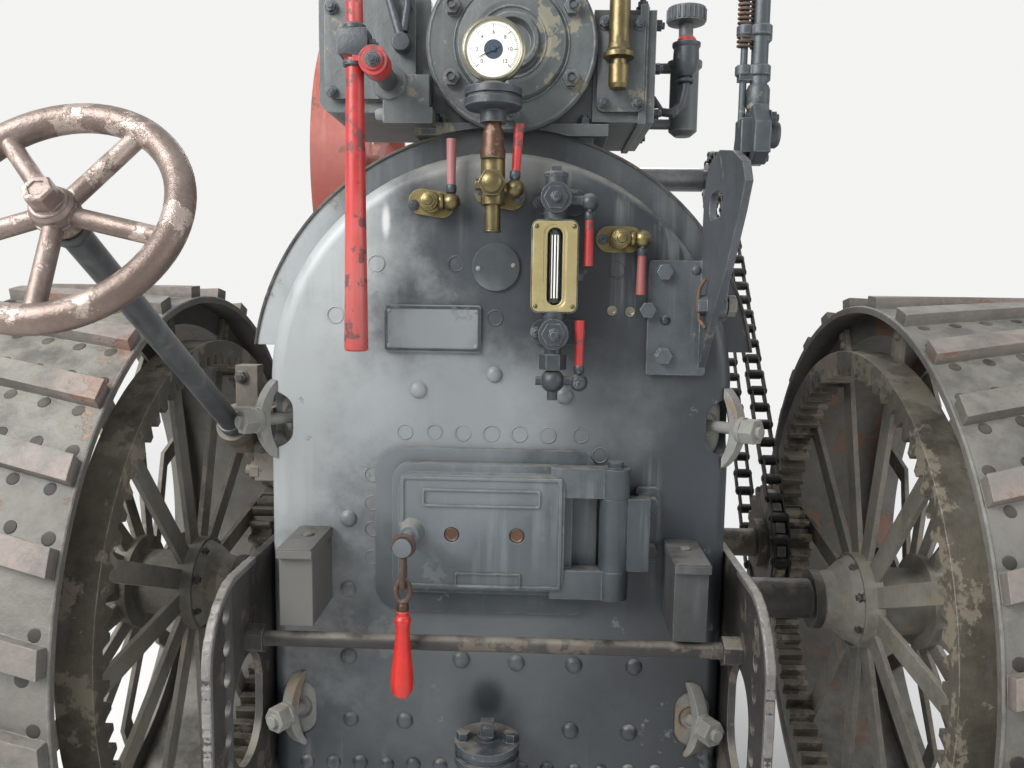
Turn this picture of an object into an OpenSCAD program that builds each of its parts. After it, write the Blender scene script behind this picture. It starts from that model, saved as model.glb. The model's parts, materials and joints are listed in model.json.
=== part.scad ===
// Steam traction engine: the boiler lies along +Y, its fire door faces -Y, and the ground is z = 0.
// The origin is on the ground, in the middle of the engine's length and width. The drawing itself starts
// at the rear face of the backhead, on the boiler's centre line, and is moved there at the end.

/* [Boiler] */
// Width of firebox over its outer plates
firebox_w = 860; // [820:10:900]
// Length of firebox
firebox_len = 800; // [760:10:900]
// Height of bottom of firebox
firebox_z = 500; // [440:5:520]
// Height of centre of firebox arch and of barrel
arch_z = 1270; // [1240:5:1300]
// Thickness of boiler plates
plate_t = 14; // [10:1:18]
// Depth of rounded flange of backhead
flange_y = 70; // [62:1:90]
// Outer radius of flange's bend
backhead_bend = 30; // [24:1:36]
// Outer radius of barrel
barrel_r = 330; // [290:5:350]
// Length of barrel
barrel_len = 1500; // [1400:10:1650]
// Thickness of lagging on firebox crown
crown_lagging_t = 66; // [50:1:76]
// Gap between backhead's flange and crown lagging
lagging_gap = 8; // [5:1:15]
// Height at which crown lagging ends on each side
lagging_end_z = 1340; // [1300:5:1400]
// Thickness of lagging on barrel
barrel_lagging_t = 28; // [20:1:40]
// Length of smokebox
smoke_len = 520; // [450:10:600]
// Radius of chimney
chimney_r = 120; // [100:5:150]
// Height of chimney's top
chimney_top = 3050; // [2800:10:3300]

/* [Inner firebox] */
// Water space between inner and outer plates
water_space = 62; // [50:1:80]
// Height of inner crown above firebox bottom
inner_crown_h = 850; // [780:10:900]
// Width of fire hole
fire_hole_w = 300; // [240:5:320]
// Height of fire hole
fire_hole_h = 180; // [140:5:200]
// Sideways place of fire hole's centre
fire_hole_x = -30; // [-40:1:-20]
// Height of fire hole's centre
fire_hole_z = 1012; // [1000:1:1025]
// Depth of foundation ring
ring_h = 70; // [55:1:80]
// Number of fire bars
grate_bars = 12; // [8:1:14]
// Depth of fire bars
grate_bar_h = 40; // [30:1:50]
// Height of grate's underside above foundation ring
grate_rise = 20; // [10:1:30]
// Depth of ashpan
ashpan_h = 150; // [120:5:170]
// Thickness of ashpan's sheet
ashpan_t = 6; // [4:1:8]

/* [Hand holes] */
// Width of each hand hole
port_w = 66; // [56:1:68]
// Height of each hand hole
port_h = 108; // [96:1:116]
// Height of two upper hand holes, in corners
port_hi = 1205; // [1190:1:1208]
// Height of two lower hand holes
port_lo = 642; // [632:1:652]
// Distance of lower hand holes from centre line
port_x = 378; // [366:1:380]
// Half height of crescent dog over each hand hole
dog_reach = 74; // [66:1:80]
// Rise of dog above its feet
dog_rise = 34; // [28:1:38]
// Thickness of dog at its middle
dog_t = 20; // [16:1:22]
// Width of dog
dog_w = 24; // [18:1:26]
// Turn of lower dogs towards corner
dog_turn = 30; // [20:1:32]
// Diameter of stud through dog
dog_stud_d = 22; // [18:1:26]
// Width across flats of dog's nut
dog_nut_w = 42; // [36:1:44]
// Height of dog's nut
dog_nut_h = 27; // [22:1:30]

/* [Fire door] */
// Width of mouthpiece plate
mouth_w = 412; // [390:1:430]
// Height of mouthpiece plate
mouth_h = 312; // [290:1:330]
// Thickness of mouthpiece plate
mouth_t = 16; // [10:1:20]
// Sideways place of mouthpiece's centre
mouth_x = -20; // [-24:1:-16]
// Height of mouthpiece's centre
mouth_z = 1004; // [1000:1:1008]
// Width of door casting without its hinge arms
door_w = 330; // [310:1:340]
// Height of door casting
door_h = 242; // [230:1:250]
// Thickness of door casting
door_t = 42; // [34:1:48]
// Thickness of door's outer border
door_border_t = 20; // [14:1:24]
// Width of step round door
door_step = 15; // [10:1:20]
// Sideways place of door's centre
door_x = -25; // [-30:1:-20]
// Height of door's centre
door_z = 1015; // [1010:1:1020]
// Gap between mouthpiece and shut door
door_gap = 4; // [2:0.5:6]
// Sideways place of hinge pin
hinge_x = 216; // [205:1:225]
// Radius of hinge knuckle
knuckle_r = 27; // [22:1:30]
// Height of fixed knuckle
knuckle_h = 134; // [120:1:140]
// Diameter of hinge pin
hinge_pin_d = 20; // [14:1:24]
// Sideways place of hinge plate's centre
hinge_plate_x = 278; // [274:1:284]
// Width of hinge plate
hinge_plate_w = 42; // [36:1:48]
// Height of hinge plate
hinge_plate_h = 140; // [130:1:150]
// Thickness of hinge plate
hinge_plate_t = 12; // [8:1:14]
// Running gap on pins and between knuckles
pin_gap = 0.08; // [0.02:0.01:0.1]
// Diameter of two peep holes
peep_d = 28; // [20:1:32]
// Sideways place of handle's eye
eye_x = -152; // [-156:1:-148]
// Diameter of stud that carries handle
eye_stud_d = 20; // [16:1:24]
// Diameter of wire of handle's ring
ring_wire_d = 12; // [9:0.5:14]
// Length of hanging wooden grip
grip_len = 150; // [120:5:170]
// Diameter of hanging wooden grip
grip_d = 42; // [34:1:46]
// Lean of hanging grip over tie rod
grip_lean = 3; // [2:0.5:6]

/* [Horn plates] */
// Thickness of each horn plate
horn_t = 14; // [10:1:18]
// Gap between firebox and each horn plate
horn_gap = 4; // [2:1:6]
// Height of top edge of each horn plate
horn_top = 962; // [940:1:980]
// Height of bottom edge of each horn plate
horn_bottom = 420; // [400:5:430]
// Reach of each horn plate behind backhead
horn_rear = 292; // [280:1:310]
// Reach of each horn plate ahead of countershaft
horn_ahead = 110; // [100:5:130]
// Radius of cut corner at rear
horn_corner_r = 130; // [80:5:150]
// Number of bolt holes at each rear edge
horn_holes = 7; // [5:1:8]
// Pitch of bolt holes
horn_hole_pitch = 54; // [45:1:60]
// Diameter of bolt holes
horn_hole_d = 28; // [20:1:32]
// Distance of holes from rear edge
horn_hole_edge = 72; // [50:1:76]
// Depth of first bolt hole below top edge
horn_hole_drop = 52; // [46:1:60]
// Width of opening in each horn plate
horn_open_w = 150; // [130:1:156]
// Height of opening in each horn plate
horn_open_h = 200; // [160:1:208]
// Distance of opening's middle behind backhead
horn_open_back = 122; // [114:1:124]
// Height of opening's middle
horn_open_z = 700; // [690:1:704]
// Thickness of axle bracket on each horn plate
axle_pad_t = 26; // [20:1:32]
// Length of each countershaft bearing
bearing_len = 34; // [28:1:36]
// Wall of shaft bearings
bearing_wall = 30; // [22:1:34]
// Diameter of tie rod
tie_rod_d = 27; // [20:1:32]
// Distance of tie rod behind backhead
tie_rod_back = 118; // [110:1:124]
// Height of tie rod
tie_rod_z = 831; // [825:1:840]
// Width across flats of tie rod's nuts
tie_nut_w = 46; // [40:1:50]
// Height of tie rod's nuts
tie_nut_h = 32; // [26:1:36]

/* [Footplate brackets] */
// Depth of footplate brackets
bracket_deep = 150; // [140:1:156]
// Width of footplate brackets
bracket_w = 62; // [54:1:66]
// Height of footplate brackets
bracket_h = 138; // [120:1:142]
// Wall of footplate brackets
bracket_t = 10; // [8:1:12]
// Distance of left bracket from centre line
left_bracket_x = 341; // [336:1:346]
// Height of left bracket's top
left_bracket_z = 1001; // [996:1:1006]
// Distance of right bracket from centre line
right_bracket_x = 342; // [336:1:348]
// Height of right bracket's top
right_bracket_z = 992; // [988:1:998]

/* [Rear wheels] */
// Radius of rear tread without its strakes
rear_r = 700; // [660:5:740]
// Height of strakes on tread
strake_h = 26; // [18:1:32]
// Number of strakes on a rear wheel
strake_n = 28; // [20:1:30]
// Width of a strake
strake_w = 48; // [36:1:56]
// Slant of strakes across tread
strake_slant = 14; // [0:1:20]
// How far strakes end short of tread's edges
strake_short = 8; // [4:1:20]
// Width of a rear wheel
rear_w = 400; // [360:5:440]
// Thickness of tread plate
tread_t = 14; // [10:1:18]
// Depth of rings inside rim that carry spokes
rim_ring_h = 52; // [44:1:60]
// Distance of rear axle ahead of backhead
rear_y = 441; // [430:1:450]
// Place of left wheel's inner edge, from centre line
left_edge = 715; // [700:1:730]
// Place of right wheel's inner edge, from centre line
right_edge = 813; // [800:1:830]
// Number of spokes in each of two rows
spoke_n = 12; // [10:1:14]
// Width of a spoke
spoke_w = 46; // [36:1:50]
// Thickness of a spoke
spoke_t = 12; // [9:1:14]
// Distance from tread's edge to inner row of spokes at hub
spoke_root = 40; // [36:1:44]
// Distance between two rows of spokes at hub
spoke_rows = 148; // [130:1:160]
// Radius of hub flanges
hub_flange_r = 112; // [100:1:120]
// Thickness of hub flanges
hub_t = 44; // [36:1:50]
// Radius of hub barrel
hub_r = 78; // [70:1:84]
// Length of hub outside inner edge of its wheel
hub_len = 330; // [300:5:350]
// Length of hub's bell inside wheel's inner edge
hub_bell = 60; // [50:1:64]
// Diameter of stub axle
axle_d = 94; // [84:1:100]
// Thickness of collar that holds each rear wheel
axle_collar_t = 22; // [16:1:28]

/* [Ring gears and pinions] */
// Module of teeth
gear_module = 14; // [13:0.5:14.5]
// Number of teeth inside each ring gear
ring_teeth = 78; // [76:1:78]
// Number of teeth on each pinion
pinion_teeth = 13; // [12:1:14]
// Pressure angle of teeth
pressure_angle = 20; // [18:1:22]
// Play between flanks, along pitch circle
backlash = 2.4; // [1.6:0.1:3]
// Width of ring gear
ring_face = 70; // [60:1:76]
// How far ring gear stands out of wheel
ring_proud = 16; // [10:1:20]
// Thickness of ring gear behind its teeth
ring_back = 34; // [26:1:36]
// Diameter of countershaft
counter_d = 80; // [70:1:84]
// Gap between two halves of countershaft
counter_gap = 0.4; // [0.2:0.1:1]

/* [Chain drive] */
// Distance of chain's plane from centre line
chain_x = 748; // [742:1:752]
// Pitch of chain
chain_pitch = 62; // [56:1:66]
// Number of teeth on lower sprocket
lower_teeth = 16; // [14:1:17]
// Number of teeth on crankshaft sprocket
upper_teeth = 10; // [9:1:12]
// Width of chain over its plates
chain_w = 52; // [44:1:56]
// Thickness of chain's plates
link_t = 5; // [4:0.5:6]
// Diameter of chain rollers
roller_d = 30; // [26:1:32]
// Thickness of sprockets
sprocket_t = 24; // [20:1:26]
// Distance of crankshaft ahead of backhead
crank_y = 1870; // [1840:5:1900]
// Height of crankshaft
crank_z = 1895; // [1885:1:1905]

/* [Cylinder and motion] */
// Sideways place of cylinder and its motion
cyl_x = 14; // [8:1:20]
// Diameter of cylinder's rear cover
cover_d = 312; // [290:1:320]
// Thickness of cover's rim
cover_t = 22; // [16:1:26]
// Number of bolts in cover
cover_bolts = 6; // [6:1:8]
// Distance of cylinder's rear face ahead of backhead
cyl_y = 60; // [50:1:76]
// Length of cylinder block
cyl_len = 430; // [400:5:460]
// Half width of saddle flange
saddle_half = 180; // [170:1:190]
// Thickness of saddle flange
saddle_t = 22; // [18:1:26]
// Height of saddle flange's top below cylinder's axis
saddle_drop = 136; // [130:1:142]
// Left edge of left valve chest, from centre line
left_x = 346; // [340:1:352]
// Height of left valve chest above saddle
left_chest_gap = 19; // [10:1:24]
// Height of left valve chest
left_chest_h = 222; // [210:1:240]
// Right edge of right valve chest, from centre line
right_x = 278; // [272:1:284]
// Height of right valve chest above saddle
right_chest_gap = 5; // [3:1:12]
// Height of right valve chest
right_chest_h = 200; // [190:1:210]
// Length of valve chests
chest_len = 320; // [300:5:340]
// Diameter of piston rod
piston_rod_d = 44; // [38:1:50]
// Length of crosshead guides
guide_len = 620; // [600:5:640]
// Thickness of crosshead guides
guide_t = 14; // [10:1:16]
// Width of crosshead guides
guide_w = 68; // [60:1:76]
// Height of crosshead
crosshead_h = 116; // [100:1:120]
// Distance of crosshead's rear face from cylinder
crosshead_at = 270; // [240:5:300]
// Length of crosshead
crosshead_len = 100; // [80:1:110]
// Diameter of crankshaft
crank_d = 90; // [80:1:100]
// Throw of crank
crank_throw = 130; // [120:1:140]
// Length of crank pin
crank_pin_len = 100; // [92:1:110]
// Thickness of crank cheeks
cheek_t = 40; // [32:1:46]
// Distance of crankshaft's bearings from centre line
crank_bearing_x = 235; // [225:1:245]
// Length of crankshaft's bearings
crank_bearing_len = 90; // [80:1:96]
// Radius of flywheel
fly_r = 575; // [540:5:590]
// Width of flywheel's rim
fly_w = 140; // [120:1:160]
// Depth of flywheel's rim
fly_rim = 34; // [28:1:40]
// Number of flywheel's spokes
flywheel_spokes = 6; // [5:1:8]
// Distance of flywheel's outer face from centre line
fly_x = 700; // [690:1:720]

/* [Gauges and cocks] */
// Sideways place of water gauge
gauge_x = 98; // [92:1:104]
// Distance of gauge glass behind backhead
gauge_back = 70; // [64:1:76]
// Height of upper gauge cock
gauge_hi = 1609; // [1604:1:1614]
// Height of lower gauge cock
gauge_lo = 1377; // [1372:1:1382]
// Diameter of round bosses of gauge cocks
gauge_boss_d = 52; // [46:1:56]
// Width of brass frame round glass
frame_w = 80; // [74:1:86]
// Height of brass frame round glass
frame_h = 158; // [150:1:164]
// Thickness of brass frame
frame_t = 34; // [28:1:38]
// Diameter of gauge glass
glass_d = 17; // [14:1:20]
// Sideways place of left cock
left_cock_x = -124; // [-130:1:-118]
// Height of left cock
left_cock_z = 1605; // [1600:1:1610]
// Sideways place of middle cock
mid_cock_x = -11; // [-14:1:-8]
// Height of middle cock
mid_cock_z = 1632; // [1628:1:1636]
// Sideways place of right cock
right_cock_x = 214; // [208:1:220]
// Height of right cock
right_cock_z = 1545; // [1540:1:1550]
// Width of cocks' oval flanges
cock_flange_w = 84; // [76:1:90]
// Height of cocks' oval flanges
cock_flange_h = 46; // [40:1:50]
// Thickness of cocks' flanges
cock_t = 9; // [7:1:11]
// Diameter of balls that carry cock levers
cock_ball_d = 32; // [28:1:34]
// Length of cock levers
cock_lever_len = 92; // [80:1:100]
// Diameter of cock levers
cock_lever_d = 18; // [14:1:20]
// Distance of pressure gauge behind backhead
dial_back = 96; // [90:1:100]
// Height of pressure gauge's middle
dial_z = 1849; // [1846:1:1854]
// Diameter of pressure gauge
dial_d = 106; // [100:1:110]
// Depth of pressure gauge's case
dial_deep = 44; // [36:1:48]

/* [Controls] */
// Distance of steering column from centre line
column_x = 508; // [504:1:514]
// Slope of steering column
column_slope = 31.7; // [31.4:0.1:33]
// Diameter of steering column
column_d = 38; // [32:1:40]
// Steering wheel's radius at middle of its rim
steer_r = 148; // [140:1:160]
// Diameter of steering wheel's rim
steer_rim_d = 37; // [32:1:40]
// Steering wheel's distance from its bracket
column_up = 696; // [680:2:720]
// Length of column ahead of its bracket
column_down = 850; // [840:5:856]
// Sideways place of regulator's head block
regulator_x = -240; // [-246:1:-234]
// Height of regulator's head block
regulator_z = 1848; // [1844:1:1854]
// Distance of head block's middle behind backhead
regulator_back = 106; // [100:1:112]
// Length of red regulator lever
reg_len = 480; // [440:5:500]
// Diameter of red lever at its lower end
regulator_d = 41; // [36:1:44]
// Diameter of regulator's cross shaft
shaft_d = 34; // [28:1:36]
// Thickness of lever stand's plates
stand_t = 12; // [10:1:14]
// Sideways place of stand's web
web_x = 362; // [360:1:368]
// Distance of reversing lever's pin behind backhead
pivot_y = 60; // [54:1:66]
// Height of reversing lever's pin
reverse_z = 1430; // [1424:1:1438]
// Diameter of reversing lever's pin
reverse_pin_d = 20; // [16:1:24]
// Height of reversing lever above its pin
reverse_len = 620; // [580:10:640]
// Gap between reversing lever and web
reverse_gap = 6; // [5:0.5:8]

/* [Front axle] */
// Radius of front wheels
front_r = 440; // [400:5:460]
// Width of front wheels
front_w = 170; // [140:5:200]
// Distance between middles of front wheels
front_track = 1060; // [1000:10:1100]
// Number of spokes in a front wheel
front_spokes = 10; // [8:1:12]
// Thickness of front wheels' treads
front_tread_t = 14; // [10:1:16]
// Diameter of front axle's journals
front_axle_d = 60; // [50:1:66]
// Depth of front axle's beam
beam_h = 105; // [90:1:110]
// Diameter of steering drum
drum_d = 70; // [60:1:76]
// Height of steering drum
drum_z = 480; // [475:1:490]
// Diameter of each steering chain
steer_chain_d = 24; // [20:1:28]
// Distance of each steering chain from centre line
steer_chain_x = 300; // [280:5:320]

/* [Hidden] */
$fn = 72;
nib = 0.01;
seat = 0.3;
firebox_half = firebox_w / 2;
wrapper_r = firebox_half - plate_t;
crown_r = wrapper_r + crown_lagging_t;
lagging_y = flange_y + lagging_gap;
throat_y = firebox_len - plate_t;
barrel_end = firebox_len + barrel_len;
smoke_r = barrel_r + barrel_lagging_t;
front_y = barrel_end + smoke_len / 2;
chimney_y = barrel_end + smoke_len / 2;
inner_half = wrapper_r - plate_t - water_space;
inner_y = plate_t + water_space;
inner_len = throat_y - water_space - inner_y;
horn_in = firebox_half + horn_gap;
horn_out = horn_in + horn_t;
axle_flange = horn_out + axle_pad_t;
ring_add = 0.6 * gear_module;
ring_ded = 1.15 * gear_module;
pinion_add = 0.85 * gear_module;
pinion_ded = 0.95 * gear_module;
pinion_r = gear_module * pinion_teeth / 2;
ring_r = gear_module * ring_teeth / 2;
ring_outer = ring_r + ring_ded + ring_back;
pinion_face = ring_proud + 5 + spoke_root;
axle_z = rear_r + strake_h;
counter_y = rear_y + ring_r - pinion_r;
counter_z = axle_z;
horn_front = counter_y + horn_ahead;
horn_hole_y = -horn_rear + horn_hole_edge;
lower_r = chain_pitch / 2 / sin(180 / lower_teeth);
upper_r = chain_pitch / 2 / sin(180 / upper_teeth);
door_back = mouth_t + door_gap;
hinge_y = -door_back - door_t / 2;
eye_reach = 84;
eye_y = -door_back - door_t - eye_reach;
eye_z = door_z - 1;
deck_z = crank_z - saddle_drop;
saddle_left = cyl_x - saddle_half;
gauge_z = (gauge_hi + gauge_lo) / 2;
gauge_slot_w = frame_w - 54;
gauge_slot_h = frame_h - 26;
glass_len = gauge_slot_h - gauge_slot_w + 2 * sqrt(pow(gauge_slot_w / 2, 2) - pow(glass_d / 2, 2)) - 2 * seat;
column_foot = [-column_x, cyl_y, 1170];
reverse_x = web_x + stand_t + reverse_gap;
drum_y = horn_front - 46;
lever_out = 58;
cock_out = 38;
middle_back = 63;
middle_top = mid_cock_z + 42;
drain_z = gauge_lo - 82;
block_half = 150;
chest_y = cyl_y + 10;
left_z = deck_z + left_chest_gap;
right_z = deck_z + right_chest_gap;
shaft_x = regulator_x + 34;
shaft_z = regulator_z - 26;
front_end = front_y + front_r;
rear_end = column_foot[1] - column_up * cos(column_slope) - steer_r * sin(column_slope) - steer_rim_d / 2;
middle_x = (right_edge - left_edge) / 2;
middle_y = (front_end + rear_end) / 2;

// Places children
module at(place) {
  translate(place) children();
}

// A flat shape in (x, z), drawn from y0 forwards
module along_y(y0, len) {
  at([0, y0 + len, 0]) rotate([90, 0, 0]) linear_extrude(len) children();
}

// A flat shape in (y, z), drawn from x0 to the right
module along_x(x0, len) {
  at([x0, 0, 0]) rotate([90, 0, 90]) linear_extrude(len) children();
}

// A round bar along x, from x0 to the right
module bar_x(x0, len, d, y, z) {
  at([x0, y, z]) rotate([0, 90, 0]) cylinder(d = d, h = len);
}

// A round bar along y, from y0 forwards
module bar_y(y0, len, d, x, z) {
  at([x, y0 + len, z]) rotate([90, 0, 0]) cylinder(d = d, h = len);
}

// A hexagon nut or bolt head along y, from y0 forwards
module hex_y(y0, len, across, x, z) {
  at([x, y0 + len, z]) rotate([90, 0, 0]) cylinder(d = across / cos(30), h = len, $fn = 6);
}

// A hexagon nut or bolt head along x, from x0 to the right
module hex_x(x0, len, across, y, z) {
  at([x0, y, z]) rotate([0, 90, 0]) cylinder(d = across / cos(30), h = len, $fn = 6);
}

// A plain box between two corners
module block(low, high) {
  at(low) cube(high - low);
}

// A firebox end view: straight sides under a round arch
module arch(half, bottom) {
  at([-half, bottom]) square([2 * half, arch_z - bottom]);
  at([0, arch_z]) circle(half);
}

// A rectangle with round corners, about its middle
module rounded(w, h, r) {
  for (sx = [-1, 1], sz = [-1, 1])
    at([sx * (w / 2 - r), sz * (h / 2 - r)]) circle(r);
  square([w - 2 * r, h], center = true);
  square([w, h - 2 * r], center = true);
}

// Half of the section through the flanged backhead: x runs outwards and y runs forwards
module backhead_section() {
  difference() {
    union() {
      square([firebox_half - backhead_bend, flange_y]);
      at([0, backhead_bend]) square([firebox_half, flange_y - backhead_bend]);
      at([firebox_half - backhead_bend, backhead_bend]) circle(backhead_bend);
    }
    at([-nib, plate_t]) square([wrapper_r + nib, flange_y]);
  }
}

module fire_hole(grow) {
  at([fire_hole_x, fire_hole_z])
    rounded(fire_hole_w + grow, fire_hole_h + grow, (fire_hole_h + grow) / 2.5);
}

// Height of the centre of a circular arc with this rise over half its chord
function arc_radius(rise, half) = (rise * rise + half * half) / (2 * rise);

// Places children at a hand hole: -y points outwards, z stays up
module at_hand_hole(side, upper) {
  mirror([side > 0 ? 0 : 1, 0, 0])
    at([upper ? firebox_half : port_x, 0, upper ? port_hi : port_lo])
      rotate([0, 0, upper ? 45 : 0]) children();
}

module hand_hole(side, upper, grow) {
  at_hand_hole(side, upper) along_y(-20, upper ? 120 : 20 + plate_t + nib)
    rounded(port_w + grow, port_h + grow, (port_w + grow) / 2 - nib);
}

module backhead() {
  color("lightslategray") difference() {
    union() {
      at([0, 0, arch_z]) rotate([-90, 0, 0]) rotate([0, 0, 180])
        rotate_extrude(angle = 180) backhead_section();
      at([0, 0, firebox_z]) linear_extrude(arch_z - firebox_z) {
        backhead_section();
        mirror([1, 0]) backhead_section();
      }
    }
    along_y(-1, plate_t + 2) fire_hole(0);
    for (side = [-1, 1], upper = [false, true]) hand_hole(side, upper, 0);
  }
}

module firebox_wrapper() {
  color("slategray") difference() {
    along_y(plate_t, throat_y - plate_t) difference() {
      arch(wrapper_r, firebox_z);
      arch(wrapper_r - plate_t, firebox_z - 1);
    }
    for (side = [-1, 1]) hand_hole(side, true, 0);
  }
}

module inner_firebox() {
  top = firebox_z + inner_crown_h;
  color("dimgray") {
    difference() {
      block([-inner_half, inner_y, firebox_z + ring_h], [inner_half, inner_y + inner_len, top]);
      block([-inner_half + plate_t, inner_y + plate_t, firebox_z],
        [inner_half - plate_t, inner_y + inner_len - plate_t, top - plate_t]);
      along_y(inner_y - 1, plate_t + 2) fire_hole(0);
    }
    along_y(plate_t, inner_y - plate_t) difference() {
      fire_hole(2 * plate_t);
      fire_hole(0);
    }
  }
}

module grate() {
  low = firebox_z + ring_h + grate_rise;
  span = 2 * (inner_half - plate_t);
  pitch = span / grate_bars;
  cross = grate_bar_h * 0.6;
  color("saddlebrown") {
    for (i = [0 : grate_bars - 1])
      block([-span / 2 + (i + 0.25) * pitch, inner_y + plate_t, low],
        [-span / 2 + (i + 0.75) * pitch, inner_y + inner_len - plate_t, low + grate_bar_h]);
    for (y = [inner_y + inner_len * 0.25, inner_y + inner_len * 0.75])
      block([-span / 2, y - cross / 2, low - cross / 2], [span / 2, y + cross / 2, low + nib]);
  }
}

module foundation_ring() {
  color("gray") difference() {
    block([-wrapper_r + plate_t, plate_t, firebox_z], [wrapper_r - plate_t, throat_y, firebox_z + ring_h]);
    block([-inner_half + plate_t, inner_y + plate_t, firebox_z - 1],
      [inner_half - plate_t, inner_y + inner_len - plate_t, firebox_z + ring_h + 1]);
  }
}

module ashpan() {
  half = inner_half - 10;
  y0 = inner_y + 20;
  y1 = inner_y + inner_len - 20;
  color("dimgray") difference() {
    block([-half, y0, firebox_z - ashpan_h], [half, y1, firebox_z]);
    block([-half + ashpan_t, y0 - 1, firebox_z - ashpan_h + ashpan_t],
      [half - ashpan_t, y1 - ashpan_t, firebox_z + 1]);
  }
}

module throat_plate() {
  color("slategray") along_y(throat_y, plate_t) difference() {
    arch(wrapper_r, firebox_z);
    at([0, arch_z]) circle(barrel_r - plate_t);
  }
}

module boiler_barrel() {
  color("slategray") along_y(firebox_len, barrel_len) at([0, arch_z]) difference() {
    circle(barrel_r);
    circle(barrel_r - plate_t);
  }
}

module crown_lagging() {
  color("dimgray") along_y(lagging_y, firebox_len - lagging_y) intersection() {
    at([0, arch_z]) difference() {
      circle(crown_r);
      circle(wrapper_r);
    }
    at([-crown_r, lagging_end_z]) square([2 * crown_r, 2 * crown_r]);
  }
}

module barrel_lagging() {
  band = 40;
  color("dimgray") along_y(firebox_len, barrel_len - band) at([0, arch_z]) difference() {
    circle(smoke_r);
    circle(barrel_r);
  }
}

module smokebox() {
  color("dimgray") difference() {
    along_y(barrel_end, smoke_len) at([0, arch_z]) circle(smoke_r);
    along_y(barrel_end + plate_t, smoke_len) at([0, arch_z]) circle(smoke_r - plate_t);
    at([0, chimney_y, arch_z]) cylinder(r = chimney_r - 8, h = 2 * smoke_r);
  }
}

module smokebox_door() {
  y0 = barrel_end + smoke_len;
  rim_t = 16;
  color("dimgray") {
    along_y(y0, rim_t) at([0, arch_z]) circle(smoke_r);
    at([0, y0 + rim_t, arch_z]) rotate([-90, 0, 0]) {
      cylinder(r1 = smoke_r * 0.82, r2 = smoke_r * 0.7, h = 30);
      cylinder(r = 30, h = 60);
    }
    for (dz = [-120, 120]) {
      block([-smoke_r * 0.75, y0 + rim_t, arch_z + dz - 18], [60, y0 + rim_t + 40, arch_z + dz + 18]);
      at([-smoke_r * 0.88, y0 + rim_t + 20, arch_z + dz - 35]) cylinder(d = 44, h = 70);
    }
    block([-smoke_r * 0.92, y0 + rim_t - nib, arch_z - 140], [-smoke_r * 0.84, y0 + rim_t + 20, arch_z + 140]);
  }
}

module chimney() {
  base_z = arch_z + smoke_r - 20;
  color("dimgray") difference() {
    union() {
      at([0, chimney_y, base_z]) rotate_extrude() polygon([
        [0, 0], [chimney_r + 70, 0], [chimney_r + 62, 40], [chimney_r + 12, 150],
        [chimney_r, 190], [0, 190]]);
      at([0, chimney_y, base_z]) cylinder(r = chimney_r, h = chimney_top - base_z - 60);
      at([0, chimney_y, chimney_top - 60]) cylinder(r = chimney_r + 22, h = 60);
    }
    at([0, chimney_y, base_z - 1]) cylinder(r = chimney_r - 8, h = chimney_top);
    at([0, barrel_end + smoke_len + 1, arch_z]) rotate([90, 0, 0])
      cylinder(r = smoke_r, h = smoke_len + 2);
  }
}

// Outline of a horn plate in (y, z), with its cut corner, opening and holes
module horn_outline() {
  difference() {
    union() {
      at([-horn_rear, horn_bottom])
        square([horn_front + horn_rear, horn_top - horn_corner_r - horn_bottom]);
      at([-horn_rear + horn_corner_r, horn_bottom])
        square([horn_front + horn_rear - horn_corner_r, horn_top - horn_bottom]);
      at([-horn_rear + horn_corner_r, horn_top - horn_corner_r]) circle(horn_corner_r);
    }
    at([-horn_open_back, horn_open_z]) rounded(horn_open_w, horn_open_h, horn_open_w / 2 - nib);
    at([counter_y, counter_z]) circle(d = counter_d + 2 * pin_gap);
    for (i = [0 : horn_holes - 1])
      at([horn_hole_y, horn_top - horn_hole_drop - i * horn_hole_pitch]) circle(d = horn_hole_d);
    at([-tie_rod_back, tie_rod_z]) circle(d = tie_rod_d);
    at([drum_y, drum_z]) circle(d = drum_d);
  }
}

// One horn plate with its axle bracket, countershaft bearing and packing blocks, on the right side
module horn_plate() {
  color("dimgray") {
    along_x(horn_in, horn_t) horn_outline();
    along_x(horn_out, axle_pad_t) at([rear_y, axle_z])
      rounded(3 * axle_d, 2.8 * axle_d, 40);
    difference() {
      bar_x(horn_out, bearing_len, counter_d + 2 * bearing_wall, counter_y, counter_z);
      bar_x(horn_out - 1, bearing_len + 2, counter_d + 2 * pin_gap, counter_y, counter_z);
    }
    for (y = [flange_y + 20, throat_y - 90])
      block([wrapper_r, y, firebox_z + 60], [horn_in, y + 40, horn_top - 42]);
  }
}

module horn_plate_left() {
  mirror([1, 0, 0]) horn_plate();
}

module horn_plate_right() {
  horn_plate();
}

module tie_rod() {
  end = horn_out + tie_nut_h + tie_rod_d / 2;
  color("gray") {
    bar_x(-end, 2 * end, tie_rod_d, -tie_rod_back, tie_rod_z);
    for (x = [-horn_out - tie_nut_h, -horn_in, horn_in - tie_nut_h, horn_out])
      hex_x(x, tie_nut_h, tie_nut_w, -tie_rod_back, tie_rod_z);
  }
}

// A stub axle with its collars, on the side given by the sign; edge is the wheel's inner edge
module stub_axle(s, edge) {
  hub_end = edge + hub_len;
  mirror([s > 0 ? 0 : 1, 0, 0]) {
    bar_x(axle_flange, hub_end + axle_collar_t - axle_flange, axle_d, rear_y, axle_z);
    bar_x(axle_flange, 40, axle_d + 60, rear_y, axle_z);
    bar_x(edge - hub_bell - 22 - seat, 22, axle_d + 44, rear_y, axle_z);
    bar_x(hub_end + seat, axle_collar_t, axle_d + 30, rear_y, axle_z);
  }
}

module stub_axles() {
  color("dimgray") {
    stub_axle(-1, left_edge);
    stub_axle(1, right_edge);
  }
}

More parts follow.
